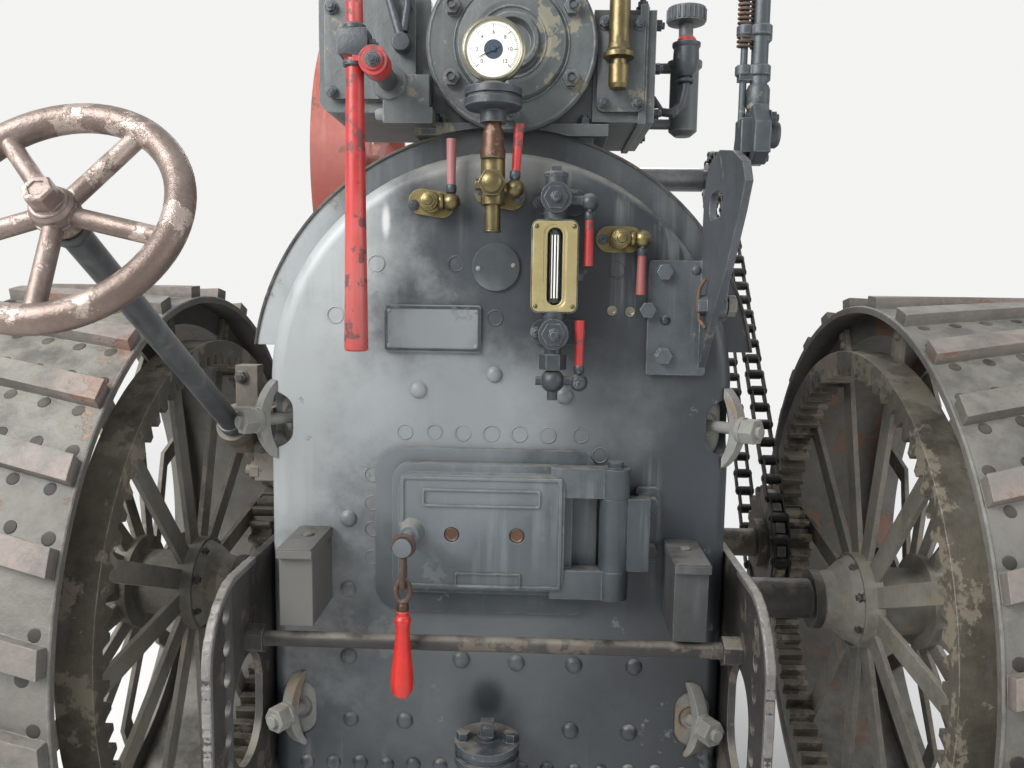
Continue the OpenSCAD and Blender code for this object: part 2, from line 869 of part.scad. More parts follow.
// A cast footplate bracket, open below, with a step on top; x is its middle
module footplate_bracket(x, top) {
  half = bracket_w / 2;
  wall = bracket_t;
  block([x - half, -bracket_deep, top - 1.4 * wall], [x + half, 0, top]);
  difference() {
    block([x - half + 2, -bracket_deep + 12, top - bracket_h], [x + half - 2, 0, top - 1.4 * wall + nib]);
    block([x - half + 2 + wall, -bracket_deep + 12 + wall, top - bracket_h - 1],
      [x + half - 2 - wall, -wall, top - 3 * wall]);
  }
}

module footplate_brackets() {
  color("dimgray") {
    footplate_bracket(-left_bracket_x, left_bracket_z);
    footplate_bracket(right_bracket_x, right_bracket_z);
  }
}

// The mouthpiece round the fire hole, with the fixed half of the door's hinge
module mouthpiece() {
  half = knuckle_h / 2;
  plate_left = hinge_plate_x - hinge_plate_w / 2;
  arm_t = 1.04 * knuckle_r;
  color("dimgray") {
    difference() {
      along_y(-mouth_t, mouth_t) at([mouth_x, mouth_z]) rounded(mouth_w, mouth_h, 46);
      along_y(-mouth_t - 1, mouth_t + 2) fire_hole(0);
    }
    difference() {
      union() {
        along_y(-hinge_plate_t, hinge_plate_t) at([hinge_plate_x, door_z + 9])
          rounded(hinge_plate_w, hinge_plate_h, 6);
        block([hinge_x, hinge_y - arm_t / 2, door_z - half],
          [plate_left + 22, hinge_y + arm_t / 2, door_z + half]);
        block([plate_left + 4, hinge_y, door_z - half], [plate_left + 22, -hinge_plate_t + nib, door_z + half]);
        at([hinge_x, hinge_y, door_z - half]) cylinder(r = knuckle_r, h = knuckle_h);
      }
      at([hinge_x, hinge_y, door_z - half - 1])
        cylinder(d = hinge_pin_d + 2 * pin_gap, h = knuckle_h + 2);
    }
    for (dz = [-40, 48]) hex_y(-hinge_plate_t - 14, 15, 26, hinge_plate_x + 7, door_z + dz);
  }
}

// The door casting: a stepped plate, two arms, the hinge pin, two peep holes and the handle's stud
module fire_door() {
  half = knuckle_h / 2;
  arm_h = (door_h - knuckle_h) / 2 - pin_gap;
  arm_t = 1.26 * knuckle_r;
  color("dimgray") difference() {
    union() {
      along_y(-door_back - door_border_t, door_border_t) at([door_x, door_z])
        rounded(door_w, door_h, 2 * door_step);
      along_y(-door_back - door_t, door_t) at([door_x, door_z])
        rounded(door_w - 2 * door_step, door_h - 2 * door_step, 2 * door_step - 4);
      for (s = [-1, 1]) {
        z0 = s > 0 ? door_z + half + pin_gap : door_z - half - pin_gap - arm_h;
        block([door_x + door_w / 2 - 40, hinge_y - arm_t / 2, z0],
          [hinge_x, hinge_y + arm_t / 2, z0 + arm_h]);
        at([hinge_x, hinge_y, z0]) cylinder(r = knuckle_r, h = arm_h);
      }
      at([hinge_x, hinge_y, door_z - door_h / 2]) cylinder(d = hinge_pin_d, h = door_h);
      at([hinge_x, hinge_y, door_z + door_h / 2]) cylinder(d = hinge_pin_d + 8, h = 12);
      at([eye_x, -door_back - door_t + 1, eye_z]) rotate([90, 0, 0]) {
        cylinder(d1 = 2.6 * eye_stud_d, d2 = 1.7 * eye_stud_d, h = 26);
        cylinder(d = eye_stud_d, h = eye_reach + 12);
        at([0, 0, eye_reach + 10]) cylinder(d = 1.6 * eye_stud_d, h = 8);
      }
    }
    for (x = [door_x - 53, door_x + 65])
      bar_y(-door_back - door_t - 1, door_t + 2, peep_d, x, door_z - 4);
  }
}

// The hanging handle: an eye on the door's stud, a ring and a turned grip that leans over the tie rod
module door_handle() {
  eye_r = eye_stud_d / 2 + ring_wire_d;
  ring_r0 = 1.4 * ring_wire_d;
  grip_top = eye_r + 2 * ring_r0 + 5 * ring_wire_d;
  at([eye_x, eye_y, eye_z]) {
    color("saddlebrown") rotate([90, 0, 0]) at([0, 0, -ring_wire_d / 2]) difference() {
      cylinder(r = eye_r, h = ring_wire_d);
      at([0, 0, -1]) cylinder(d = eye_stud_d + 2 * pin_gap, h = ring_wire_d + 2);
    }
    rotate([-grip_lean, 0, 0]) {
      color("saddlebrown") {
        at([0, 0, -eye_r - ring_r0]) rotate([90, 0, 90]) rotate_extrude()
          at([ring_r0, 0]) circle(d = ring_wire_d);
        at([0, 0, -grip_top]) cylinder(d = ring_wire_d, h = grip_top - eye_r - 1.6 * ring_r0);
      }
      color("firebrick") at([0, 0, -grip_top - grip_len]) rotate_extrude() polygon([
        [0, 0], [grip_d * 0.24, 0], [grip_d * 0.42, grip_len * 0.08], [grip_d * 0.5, grip_len * 0.24],
        [grip_d * 0.42, grip_len * 0.45], [grip_d * 0.3, grip_len * 0.72],
        [grip_d * 0.36, grip_len * 0.88], [grip_d * 0.36, grip_len], [0, grip_len]]);
    }
  }
}

// One hand-hole door: a dished cover in the hole, a crescent dog across it, its stud and nut
module hand_hole_door(side, upper) {
  seat_y = upper ? (sqrt(2) - 1) * backhead_bend - seat : -seat;
  cover_y = upper ? port_w / 2 + plate_t : 2;
  outer_r = arc_radius(dog_rise, dog_reach);
  inner_r = arc_radius(dog_rise - dog_t, dog_reach - 18);
  crown = seat_y - dog_rise;
  color("gray") at_hand_hole(side, upper) {
    difference() {
      along_y(cover_y, plate_t - 3) rounded(port_w - 2 * seat, port_h - 2 * seat,
        port_w / 2 - seat - nib);
      at([0, cover_y - 1, 0]) rotate([-90, 0, 0])
        cylinder(d1 = port_w * 0.8, d2 = port_w * 0.6, h = 6);
    }
    difference() {
      rotate([0, 0, upper ? 0 : dog_turn]) {
        intersection() {
          along_x(-dog_w / 2, dog_w) difference() {
            at([crown + outer_r, 0]) circle(outer_r, $fn = 120);
            at([crown + dog_t + inner_r, 0]) circle(inner_r, $fn = 120);
          }
          block([-dog_w, crown - 1, -dog_reach], [dog_w, seat_y + 20, dog_reach]);
        }
        bar_y(crown - dog_nut_h - 12, cover_y + 2 - (crown - dog_nut_h - 12), dog_stud_d, 0, 0);
        bar_y(crown - 5, 9, dog_nut_w + 6, 0, 0);
        hex_y(crown - 4 - dog_nut_h, dog_nut_h, dog_nut_w, 0, 0);
      }
      if (upper)
        block([-dog_w, seat_y, -dog_reach - 1], [dog_w, 90, -port_h / 2 + 2]);
      if (upper)
        block([-dog_w, seat_y, port_h / 2 - 2], [dog_w, 90, dog_reach + 1]);
      if (!upper)
        block([-2 * dog_w, -seat, -dog_reach - 1], [2 * dog_w, 90, -port_h / 2 + 2]);
      if (!upper)
        block([-2 * dog_w, -seat, port_h / 2 - 2], [2 * dog_w, 90, dog_reach + 1]);
    }
  }
}

module hand_hole_doors() {
  for (side = [-1, 1], upper = [false, true]) hand_hole_door(side, upper);
}

// The blow-off elbow under the fire door, closed by a blind flange with a square plug
module blow_off_flange() {
  x = fire_hole_x + 21;
  r = 60;
  y = -r - 8;
  top = firebox_z + 128;
  color("dimgray") {
    at([x, y, top - 12]) cylinder(r = r, h = 12);
    at([x, y, top - 27]) cylinder(r = r - 6, h = 16);
    at([x, y, top - 40]) cylinder(r = r, h = 14);
    at([x, y, top - 110]) cylinder(r = 0.62 * r, h = 71);
    bar_y(y, -y, 1.1 * r, x, top - 76);
    along_y(-10, 10) at([x, top - 76]) circle(0.85 * r);
    at([x, y, top - nib]) cylinder(d = 34, h = 9);
    block([x - 12, y - 12, top], [x + 12, y + 12, top + 34]);
    for (s = [-1, 1]) at([x + s * 0.72 * r, y - 4, top - nib]) cylinder(d = 27, h = 15, $fn = 6);
  }
}

module name_plates() {
  color("dimgray") {
    along_y(-7, 7) at([-122, 1380]) rounded(178, 86, 6);
    along_y(-6, 6) at([-7, 1493]) circle(43);
  }
}

// A body of a gauge cock: flange on the backhead, round boss at the front, lever ball at the right
module gauge_cock(z) {
  front = gauge_back + 26;
  along_y(-cock_t, cock_t) at([gauge_x + 9, z]) rounded(100, 46, 23 - nib);
  bar_y(-front + 8, front - 8 - cock_t + nib, 38, gauge_x, z);
  bar_y(-front, 34, gauge_boss_d, gauge_x, z);
  hex_y(-front - 3, 8, 0.7 * gauge_boss_d, gauge_x, z);
}

module water_gauge() {
  y = -gauge_back;
  half = frame_h / 2;
  color("darkgray") {
    gauge_cock(gauge_hi);
    gauge_cock(gauge_lo);
    at([gauge_x, y, gauge_hi]) cylinder(d = 38, h = 38);
    block([gauge_x - 9, y - 9, gauge_hi + 30], [gauge_x + 9, y + 9, gauge_hi + 54]);
    at([gauge_x, y, gauge_z + half - nib]) cylinder(d = 40, h = gauge_hi - gauge_z - half);
    at([gauge_x, y, gauge_lo]) cylinder(d = 40, h = gauge_z - half - gauge_lo + nib);
    bar_x(gauge_x, lever_out - 6, 18, y, gauge_hi - 4);
    at([gauge_x + lever_out, y, gauge_hi - 6]) sphere(d = cock_ball_d);
    bar_x(gauge_x, 24, 26, y, gauge_lo);
    at([gauge_x, y, gauge_lo - 60]) cylinder(d = 30, h = 60);
    at([gauge_x, y, gauge_lo - 62]) cylinder(d = 48, h = 27, $fn = 6);
    at([gauge_x, y, drain_z]) sphere(d = 42);
    at([gauge_x, y, drain_z - 34]) cylinder(d = 18, h = 50);
    bar_x(gauge_x - 30, 70, 16, y, drain_z);
    at([gauge_x + 46, y, drain_z - 2]) sphere(d = cock_ball_d);
  }
  color("darkkhaki") difference() {
    along_y(y - frame_t / 2, frame_t) at([gauge_x, gauge_z]) rounded(frame_w, frame_h, 14);
    along_y(y - frame_t / 2 - 1, frame_t + 2) at([gauge_x, gauge_z])
      rounded(gauge_slot_w, gauge_slot_h, gauge_slot_w / 2 - nib);
    along_y(y - frame_t / 2 - 1, 7) at([gauge_x, gauge_z])
      rounded(gauge_slot_w + 18, gauge_slot_h + 18, gauge_slot_w / 2 + 9 - nib);
  }
}

module gauge_glass() {
  color("lightcyan") at([gauge_x, -gauge_back, gauge_z - glass_len / 2]) cylinder(d = glass_d, h = glass_len);
}

// A plug cock: tilted oval flange, round body with a hexagon cap, and a ball at its right for the lever
module cock(x, z, reach, tilt) {
  at([x, 0, z]) {
    rotate([0, tilt, 0]) along_y(-cock_t, cock_t)
      rounded(cock_flange_w, cock_flange_h, cock_flange_h / 2 - nib);
    bar_y(-reach, reach - cock_t + nib, 32, 0, 0);
    hex_y(-reach - 6, 12, 25, 0, 0);
    bar_y(-reach - 9, 6, 16, 0, 0);
    bar_x(0, cock_out, 17, -reach + 18, 0);
    at([cock_out, -reach + 18, 0]) sphere(d = cock_ball_d);
  }
}

// The oiler on the right valve chest: a foot, an elbow and a turned brass column
module oiler() {
  x = right_x - 70;
  y = chest_y - 28;
  z = right_z + 76;
  bar_y(y, chest_y - y, 30, x, z);
  bar_y(chest_y - 8, 8, 54, x, z);
  at([x, y, z - 22]) rotate_extrude() polygon([[0, 0], [15, 0], [18, 8], [18, 41], [14, 38], [14, 50],
    [28, 54], [28, 62], [22, 68], [19, 80], [19, 190], [24, 196], [24, 204], [12, 216], [0, 218]]);
}

module brass_cocks() {
  color("darkkhaki") {
    cock(left_cock_x, left_cock_z, 52, 8);
    cock(right_cock_x, right_cock_z, 52, 0);
    at([mid_cock_x + 9, 0, mid_cock_z - 10]) rotate([0, 12, 0]) along_y(-cock_t, cock_t)
      rounded(cock_flange_w + 8, cock_flange_h, cock_flange_h / 2 - nib);
    at([mid_cock_x, 0, mid_cock_z]) {
      bar_y(-90, 90 - cock_t + nib, 34, 0, 0);
      hex_y(-96, 10, 42, 0, 0);
      at([0, -middle_back, -34]) cylinder(d = 42, h = 76);
      at([0, -middle_back, -80]) cylinder(d = 28, h = 80);
      bar_x(-30, 30, 20, -middle_back, 0);
      bar_x(0, cock_out, 17, -middle_back, -6);
      at([cock_out, -middle_back, -6]) sphere(d = cock_ball_d);
    }
    oiler();
  }
}

// A round cock lever from its ball; turn 0 points up and 180 down
module cock_lever(x, y, z, turn, len) {
  at([x, y, z]) rotate([0, turn, 0]) at([0, 0, cock_ball_d / 2 + seat])
    cylinder(d1 = 0.8 * cock_lever_d, d2 = cock_lever_d, h = len);
}

module cock_levers() {
  color("firebrick") {
    cock_lever(left_cock_x + cock_out, -34, left_cock_z, 0, cock_lever_len);
    cock_lever(mid_cock_x + cock_out, -middle_back, mid_cock_z - 6, 3, cock_lever_len);
    cock_lever(right_cock_x + cock_out, -34, right_cock_z, 180, cock_lever_len - 10);
    cock_lever(gauge_x + lever_out, -gauge_back, gauge_hi - 6, 180, cock_lever_len);
    cock_lever(gauge_x + 46, -gauge_back, drain_z - 2, 0, cock_lever_len);
  }
}

// The pressure gauge on its stem: case and bezel are turned, the pipe bends back to the middle cock
module pressure_gauge() {
  x = mid_cock_x;
  r = dial_d / 2;
  stem_y = -dial_back + dial_deep / 2;
  color("silver") at([x, -dial_back + dial_deep, dial_z]) rotate([90, 0, 0]) rotate_extrude() polygon([
    [0, 0], [r - 10, 0], [r - 4, 5], [r - 4, dial_deep - 12], [r, dial_deep - 10],
    [r, dial_deep - 2], [r - 3, dial_deep], [r - 7, dial_deep - 4], [0, dial_deep - 4]]);
  color("dimgray") at([x, stem_y, middle_top]) rotate_extrude() polygon([
    [0, 60], [22, 60], [22, 78], [44, 82], [48, 86], [48, 96], [44, 98], [44, 102], [48, 104], [48, 114],
    [30, 118], [20, 124], [14, 132], [14, dial_z - middle_top - r + 8], [0, dial_z - middle_top - r + 8]]);
  color("saddlebrown") at([x, stem_y, middle_top]) rotate_extrude() polygon([
    [0, 0], [21, 0], [21, 14], [18, 20], [17, 44], [13, 54], [13, 61], [0, 61]]);
}

// The cylinder casting: round barrel, flat-sided block and a saddle on the firebox crown
module cylinder_block() {
  low = arch_z + wrapper_r * 0.8;
  y0 = cyl_y;
  y1 = cyl_y + cyl_len;
  x = cyl_x;
  color("dimgray") difference() {
    union() {
      bar_y(y0, cyl_len, cover_d - 24, x, crank_z);
      block([x - block_half, y0 + 20, deck_z - nib], [x + block_half, y1 - 20, crank_z - 30]);
      block([saddle_left, y0, deck_z - saddle_t], [x + saddle_half, y1, deck_z]);
      block([saddle_left + 26, y0 + 20, low], [x + saddle_half - 26, y1 - 20, deck_z - saddle_t + nib]);
      bar_y(y0 - 50, 45, shaft_d + 30, shaft_x, shaft_z);
      block([shaft_x - 10, y0 - 46, deck_z - 10], [saddle_left + 34, y0 - 5, shaft_z + 12]);
      block([saddle_left + 2, y0 - 46, deck_z - 10], [saddle_left + 40, y0 + 20, left_z - 1]);
    }
    bar_y(0, y1 + 100, 2 * crown_r + 2 * seat, 0, arch_z);
    bar_y(y0 - 51, 42, shaft_d + 2 * pin_gap, shaft_x, shaft_z);
  }
}

module cylinder_cover() {
  r = cover_d / 2;
  color("dimgray") {
    at([cyl_x, cyl_y, crank_z]) rotate([90, 0, 0]) rotate_extrude() polygon([
      [0, 0], [r, 0], [r, cover_t - 4], [r - 4, cover_t], [0.66 * r, cover_t], [0.62 * r, cover_t + 9],
      [0.46 * r, cover_t + 12], [0.34 * r, cover_t + 10], [0.31 * r, cover_t + 22], [0.26 * r, cover_t + 22],
      [0.22 * r, cover_t + 6], [0, cover_t + 6]]);
    for (i = [0 : cover_bolts - 1]) {
      a = 30 + i * 360 / cover_bolts;
      bx = cyl_x + 0.8 * r * cos(a);
      bz = crank_z + 0.8 * r * sin(a);
      hex_y(cyl_y - cover_t - 15, 16, 27, bx, bz);
      bar_y(cyl_y - cover_t - 21, 10, 15, bx, bz);
    }
  }
}

// The two valve chests; the right one carries a flange and the displacement lubricator
module valve_chests() {
  x = cyl_x;
  low = left_z;
  lub_x = right_x + 74;
  lub_y = chest_y + 130;
  lub_z = right_z + 60;
  color("dimgray") {
    along_y(chest_y, chest_len) at([(x - block_half - left_x) / 2, low + left_chest_h / 2])
      rounded(left_x + x - block_half - 2 * seat, left_chest_h, 24);
    along_y(chest_y - 14, 15) at([(x - block_half - left_x) / 2 - 6, low + left_chest_h / 2 + 4])
      rounded(left_x + x - block_half - 40, left_chest_h - 36, 20);
    block([x + block_half + seat, chest_y, right_z], [right_x - 30, chest_y + chest_len,
      right_z + right_chest_h]);
    block([right_x - 30 - nib, chest_y - 8, right_z - 4], [right_x - 16,
      chest_y + chest_len + 8, right_z + right_chest_h + 8]);
    block([right_x - 16 - nib, chest_y, right_z], [right_x,
      chest_y + chest_len, right_z + right_chest_h]);
    for (dz = [22, 130]) bar_x(right_x - 1, lub_x - right_x, 20, lub_y, right_z + dz);
    at([lub_x, lub_y, lub_z - 62]) rotate_extrude() polygon([[0, 0], [16, 0], [28, 10], [28, 128],
      [34, 134], [34, 144], [20, 148], [14, 156], [14, 214], [37, 218], [37, 246], [0, 246]]);
  }
}

module motion_guides() {
  y0 = cyl_y + cyl_len;
  x = cyl_x;
  above = crosshead_h / 2 + 0.5;
  color("gray") {
    bar_y(y0, 24, 5 * piston_rod_d, x, crank_z);
    for (z = [crank_z - above - guide_t, crank_z + above])
      block([x - guide_w / 2, y0 + 23, z], [x + guide_w / 2, y0 + guide_len, z + guide_t]);
    difference() {
      block([x - guide_w, y0 + guide_len - 16, arch_z], [x + guide_w, y0 + guide_len,
        crank_z - above - guide_t + nib]);
      bar_y(0, 2 * crank_y, 2 * smoke_r + 2 * seat, 0, arch_z);
    }
    bar_y(y0 + 24, crosshead_at - 20, piston_rod_d, x, crank_z);
    block([x - guide_w / 2 - 8, y0 + crosshead_at, crank_z - crosshead_h / 2],
      [x + guide_w / 2 + 8, y0 + crosshead_at + crosshead_len, crank_z + crosshead_h / 2]);
  }
}

// The two brackets of the crankshaft on the boiler, each with a window
module crank_brackets() {
  mid = crank_bearing_x + crank_bearing_len / 2;
  web = crank_bearing_len * 2 / 3;
  foot = 210;
  color("dimgray") for (s = [-1, 1]) mirror([s > 0 ? 0 : 1, 0, 0]) difference() {
    union() {
      along_x(mid - web / 2, web) polygon([[crank_y - foot, arch_z + 60], [crank_y + foot, arch_z + 60],
        [crank_y + crank_d - 10, crank_z - 60], [crank_y - crank_d + 10, crank_z - 60]]);
      bar_x(crank_bearing_x, crank_bearing_len, crank_d + 80, crank_y, crank_z);
    }
    bar_x(crank_bearing_x - 10, crank_bearing_len + 20, crank_d + 2 * pin_gap, crank_y, crank_z);
    along_y(crank_y - 300, 600) at([0, arch_z]) circle(smoke_r + seat);
    along_x(mid - web, 2 * web) at([crank_y, crank_z - 190]) rounded(crank_d, 130, 30);
  }
}

module crankshaft() {
  end = fly_x;
  color("gray") {
    for (s = [-1, 1]) {
      x0 = cyl_x + s * crank_pin_len / 2;
      bar_x(s > 0 ? x0 : -end, s > 0 ? end - x0 : end + x0, crank_d, crank_y, crank_z);
      along_x(s > 0 ? x0 : x0 - cheek_t, cheek_t) at([crank_y - crank_throw / 2, crank_z])
        rounded(crank_throw + 1.3 * crank_d, 1.3 * crank_d, 40);
    }
    bar_x(cyl_x - crank_pin_len / 2 - nib, crank_pin_len + 2 * nib, crank_d, crank_y - crank_throw, crank_z);
    bar_x(end - 10, chain_x + 38 - end + 10, crank_d - 16, crank_y, crank_z);
  }
  color("dimgray") {
    sprocket(upper_teeth, upper_r, upper_phase, crank_y, crank_z, chain_x - 34, 68, crank_d + 40);
  }
}

module flywheel() {
  x0 = -fly_x;
  mid = fly_w / 2;
  color("indianred") difference() {
    union() {
      along_x(x0, fly_w) at([crank_y, crank_z]) difference() {
        circle(fly_r, $fn = 120);
        circle(fly_r - fly_rim, $fn = 120);
      }
      bar_x(x0 + 10, fly_w - 20, crank_d + 80, crank_y, crank_z);
      for (i = [0 : flywheel_spokes - 1]) at([x0 + mid, crank_y, crank_z])
        rotate([i * 360 / flywheel_spokes, 0, 0])
          block([-18, -32, 0], [18, 32, fly_r - fly_rim + 4]);
    }
    bar_x(x0 - 1, fly_w + 2, crank_d + 2 * pin_gap, crank_y, crank_z);
  }
}

module connecting_rod() {
  y0 = cyl_y + cyl_len + crosshead_at + crosshead_len;
  y1 = crank_y - crank_throw;
  x = cyl_x;
  width = crank_pin_len - 20;
  color("gray") {
    bar_y(y0 + seat, y1 - y0 - 60, 50, x, crank_z);
    difference() {
      along_x(x - width / 2, width) at([y1, crank_z]) rounded(1.7 * crank_d, 1.8 * crank_d, 30);
      bar_x(x - width, 2 * width, crank_d + 2 * pin_gap, y1, crank_z);
    }
  }
}

// Chain path in links: a straight run up, the arc on the crankshaft, a run down, the arc on the lower sprocket
chain_gap = [crank_y - counter_y, crank_z - counter_z];
chain_dist = norm(chain_gap);
chain_lean = atan2(chain_gap[1], chain_gap[0]);
chain_open = asin((lower_r - upper_r) / chain_dist);
tangent_len = chain_dist * cos(chain_open);
wrap_up = (180 - 2 * chain_open) * upper_teeth / 360;
wrap_low = (180 + 2 * chain_open) * lower_teeth / 360;
chain_links = 2 * round((2 * tangent_len / chain_pitch + wrap_up + wrap_low) / 2);
run_links = (chain_links - wrap_up - wrap_low) / 2;
run_step = tangent_len / run_links;
upper_side = chain_lean + 90 - chain_open;
lower_side = chain_lean - 90 + chain_open;
upper_phase = upper_side + run_links * 360 / upper_teeth;

function unit(a) = [cos(a), sin(a)];
function polar(c, r, a) = c + r * unit(a);

// Middle of roller number n, in (y, z)
function roller_at(n) =
  n < run_links ?
    polar([counter_y, counter_z], lower_r, upper_side) + n * run_step * unit(upper_side - 90)
  : n < run_links + wrap_up ?
    polar([crank_y, crank_z], upper_r, upper_side - (n - run_links) * 360 / upper_teeth)
  : n < 2 * run_links + wrap_up ?
    polar([crank_y, crank_z], upper_r, lower_side)
      + (n - run_links - wrap_up) * run_step * unit(lower_side - 90)
  :
    polar([counter_y, counter_z], lower_r, lower_side - (n - 2 * run_links - wrap_up) * 360 / lower_teeth);

// The chain as one fixed loop: pins and rollers between inner and outer plates
module drive_chain() {
  plate = link_t;
  color("dimgray") for (i = [0 : chain_links - 1]) {
    p = roller_at(i);
    q = roller_at((i + 1) % chain_links);
    along = q - p;
    face = chain_w / 2 - (i % 2 ? plate : 2 * plate + 0.4);
    bar_x(chain_x - chain_w / 2 - 3, chain_w + 6, roller_d / 2, p[0], p[1]);
    bar_x(chain_x - chain_w / 2 + 2 * plate, chain_w - 4 * plate, roller_d, p[0], p[1]);
    for (s = [-1, 1])
      at([chain_x + s * face - (s > 0 ? 0 : plate), p[0], p[1]])
        rotate([atan2(along[1], along[0]), 0, 0]) {
          at([0, 0, -roller_d / 2 + 2]) cube([plate, norm(along), roller_d - 4]);
          for (end = [0, norm(along)]) bar_x(0, plate, roller_d - 4, end, 0);
        }
  }
}

// A chain wheel with its boss; the first tooth space is at the given angle
module sprocket(teeth, r, phase, y, z, boss_x, boss_len, boss_d) {
  turn = 360 / teeth;
  difference() {
    bar_x(chain_x - sprocket_t / 2, sprocket_t, 2 * r + roller_d * 0.6, y, z);
    // Pockets with open mouths
    for (i = [0 : teeth - 1], s = [-1 : 0.5 : 1]) {
      far = s * chain_pitch;
      p = polar([y, z], norm([r, far]), phase + (i + s) * turn - atan(far / r));
      bar_x(chain_x - sprocket_t, 2 * sprocket_t, roller_d + (s == 0 ? 2 * seat : 2), p[0], p[1]);
    }
  }
  bar_x(boss_x, boss_len, boss_d, y, z);
}

module lower_sprocket() {
  color("dimgray") difference() {
    sprocket(lower_teeth, lower_r, upper_side, counter_y, counter_z, chain_x - 36, 72, counter_d + 60);
    bar_x(chain_x - 50, 100, counter_d + 2 * pin_gap, counter_y, counter_z);
  }
}

// Angle between the tooth's middle and its flank at radius r, for a tooth of half angle at the pitch circle
function inv(a) = tan(a) * 180 / PI - a;

function flank(r, pitch_r, half_angle) =
  let (base = pitch_r * cos(pressure_angle), a = r > base ? acos(base / r) : 0)
  half_angle + inv(pressure_angle) - inv(a);

// Outline of an involute gear of n teeth between two radii, with the teeth thinned by thin
module gear_outline(n, low, high, thin) {
  pitch_r = gear_module * n / 2;
  half_angle = 90 / n - thin / pitch_r * 90 / PI;
  steps = 4;
  radii = [for (i = [0 : steps]) low + (high - low) * i / steps];
  polygon([for (i = [0 : n - 1]) each concat(
    [for (r = radii) r * unit(i * 360 / n - flank(r, pitch_r, half_angle))],
    [for (k = [0 : steps]) radii[steps - k] * unit(i * 360 / n + flank(radii[steps - k], pitch_r, half_angle))])]);
}

// A pinion with its half of the countershaft; a tooth space faces the ring at the front
module pinion(edge) {
  x0 = edge - ring_proud - 5;
  color("dimgray") at([0, counter_y, counter_z]) {
    along_x(x0, pinion_face) rotate(180 / pinion_teeth)
      gear_outline(pinion_teeth, pinion_r - pinion_ded, pinion_r + pinion_add, backlash / 2);
    bar_x(counter_gap / 2, x0 - counter_gap / 2, counter_d, 0, 0);
  }
}

module pinion_left() {
  mirror([1, 0, 0]) pinion(left_edge);
}

module pinion_right() {
  pinion(right_edge);
}

// An internal ring gear; edge is the inner edge of its wheel
module ring_gear(edge) {
  color("darkkhaki") at([0, rear_y, axle_z]) along_x(edge - ring_proud, ring_face) difference() {
    circle(ring_outer, $fn = 180);
    rotate(180 / ring_teeth)
      gear_outline(ring_teeth, ring_r - ring_add, ring_r + ring_ded, -backlash / 2);
  }
}

module ring_gear_left() {
  mirror([1, 0, 0]) ring_gear(left_edge);
}

module ring_gear_right() {
  ring_gear(right_edge);
}

// The rim: tread plate, two inner rings for the spokes and the slanting strakes
module wheel_rim(edge) {
  ring_x = edge - ring_proud + ring_face + spoke_t;
  mid = edge + rear_w / 2;
  inside = rear_r - tread_t;
  color("gray") at([0, rear_y, axle_z]) {
    along_x(edge, rear_w) difference() {
      circle(rear_r, $fn = 180);
      circle(inside, $fn = 180);
    }
    for (x = [ring_x, 2 * mid - ring_x - 12]) along_x(x, 12) difference() {
      circle(inside + 1, $fn = 180);
      circle(inside - rim_ring_h, $fn = 180);
    }
    intersection() {
      along_x(edge + strake_short, rear_w - 2 * strake_short) difference() {
        circle(rear_r + strake_h, $fn = 180);
        circle(rear_r - 1, $fn = 180);
      }
      for (i = [0 : strake_n - 1]) rotate([i * 360 / strake_n, 0, 0])
        at([mid, 0, rear_r]) rotate([0, 0, strake_slant])
          cube([1.3 * rear_w, strake_w, 4 * strake_h], center = true);
    }
  }
}

module wheel_rim_left() {
  mirror([1, 0, 0]) wheel_rim(left_edge);
}

module wheel_rim_right() {
  wheel_rim(right_edge);
}

// A spoke in (x, z): it slopes from the hub flange to a flat end that is riveted to the rim's ring
module spoke(x_hub, x_rim) {
  flat = ring_r - ring_add - 8;
  end = rear_r - tread_t - 4;
  at([0, spoke_w / 2, 0]) rotate([90, 0, 0]) linear_extrude(spoke_w) polygon([
    [x_hub, hub_r - 4], [x_hub, hub_flange_r], [x_rim + seat, flat], [x_rim + seat, end],
    [x_rim + spoke_t - nib, end], [x_rim + spoke_t - nib, flat],
    [x_hub + spoke_t, hub_flange_r], [x_hub + spoke_t, hub_r - 4]]);
}

// The hub with its bell, its two flanges and the two rows of spokes
module wheel_centre(edge) {
  mid = edge + rear_w / 2;
  x_in = edge - ring_proud + ring_face;
  x_out = 2 * mid - x_in - spoke_t;
  first = spoke_root - hub_t / 2 - 4;
  second = first + spoke_rows + 8;
  color("dimgray") at([0, rear_y, axle_z]) difference() {
    union() {
      at([edge, 0, 0]) rotate([0, 90, 0]) rotate_extrude() polygon([
        [0, -hub_bell], [hub_r - 14, -hub_bell], [hub_r - 8, -hub_bell + 30], [hub_r + 14, -6],
        [hub_flange_r - 8, first], [hub_flange_r, first], [hub_flange_r, first + hub_t],
        [hub_r, first + hub_t], [hub_r, second], [hub_flange_r, second],
        [hub_flange_r, second + hub_t], [hub_r, second + hub_t],
        [hub_r - 6, hub_len - 40], [hub_r - 14, hub_len], [0, hub_len]]);
      for (i = [0 : spoke_n - 1]) {
        rotate([(i + 0.25) * 360 / spoke_n, 0, 0]) spoke(edge + spoke_root, x_in);
        rotate([(i + 0.75) * 360 / spoke_n, 0, 0]) spoke(edge + spoke_root + spoke_rows, x_out);
      }
    }
    bar_x(edge - hub_bell - 1, hub_len + hub_bell + 2, axle_d + 2 * pin_gap, 0, 0);
  }
}

module wheel_centre_left() {
  mirror([1, 0, 0]) wheel_centre(left_edge);
}

module wheel_centre_right() {
  wheel_centre(right_edge);
}

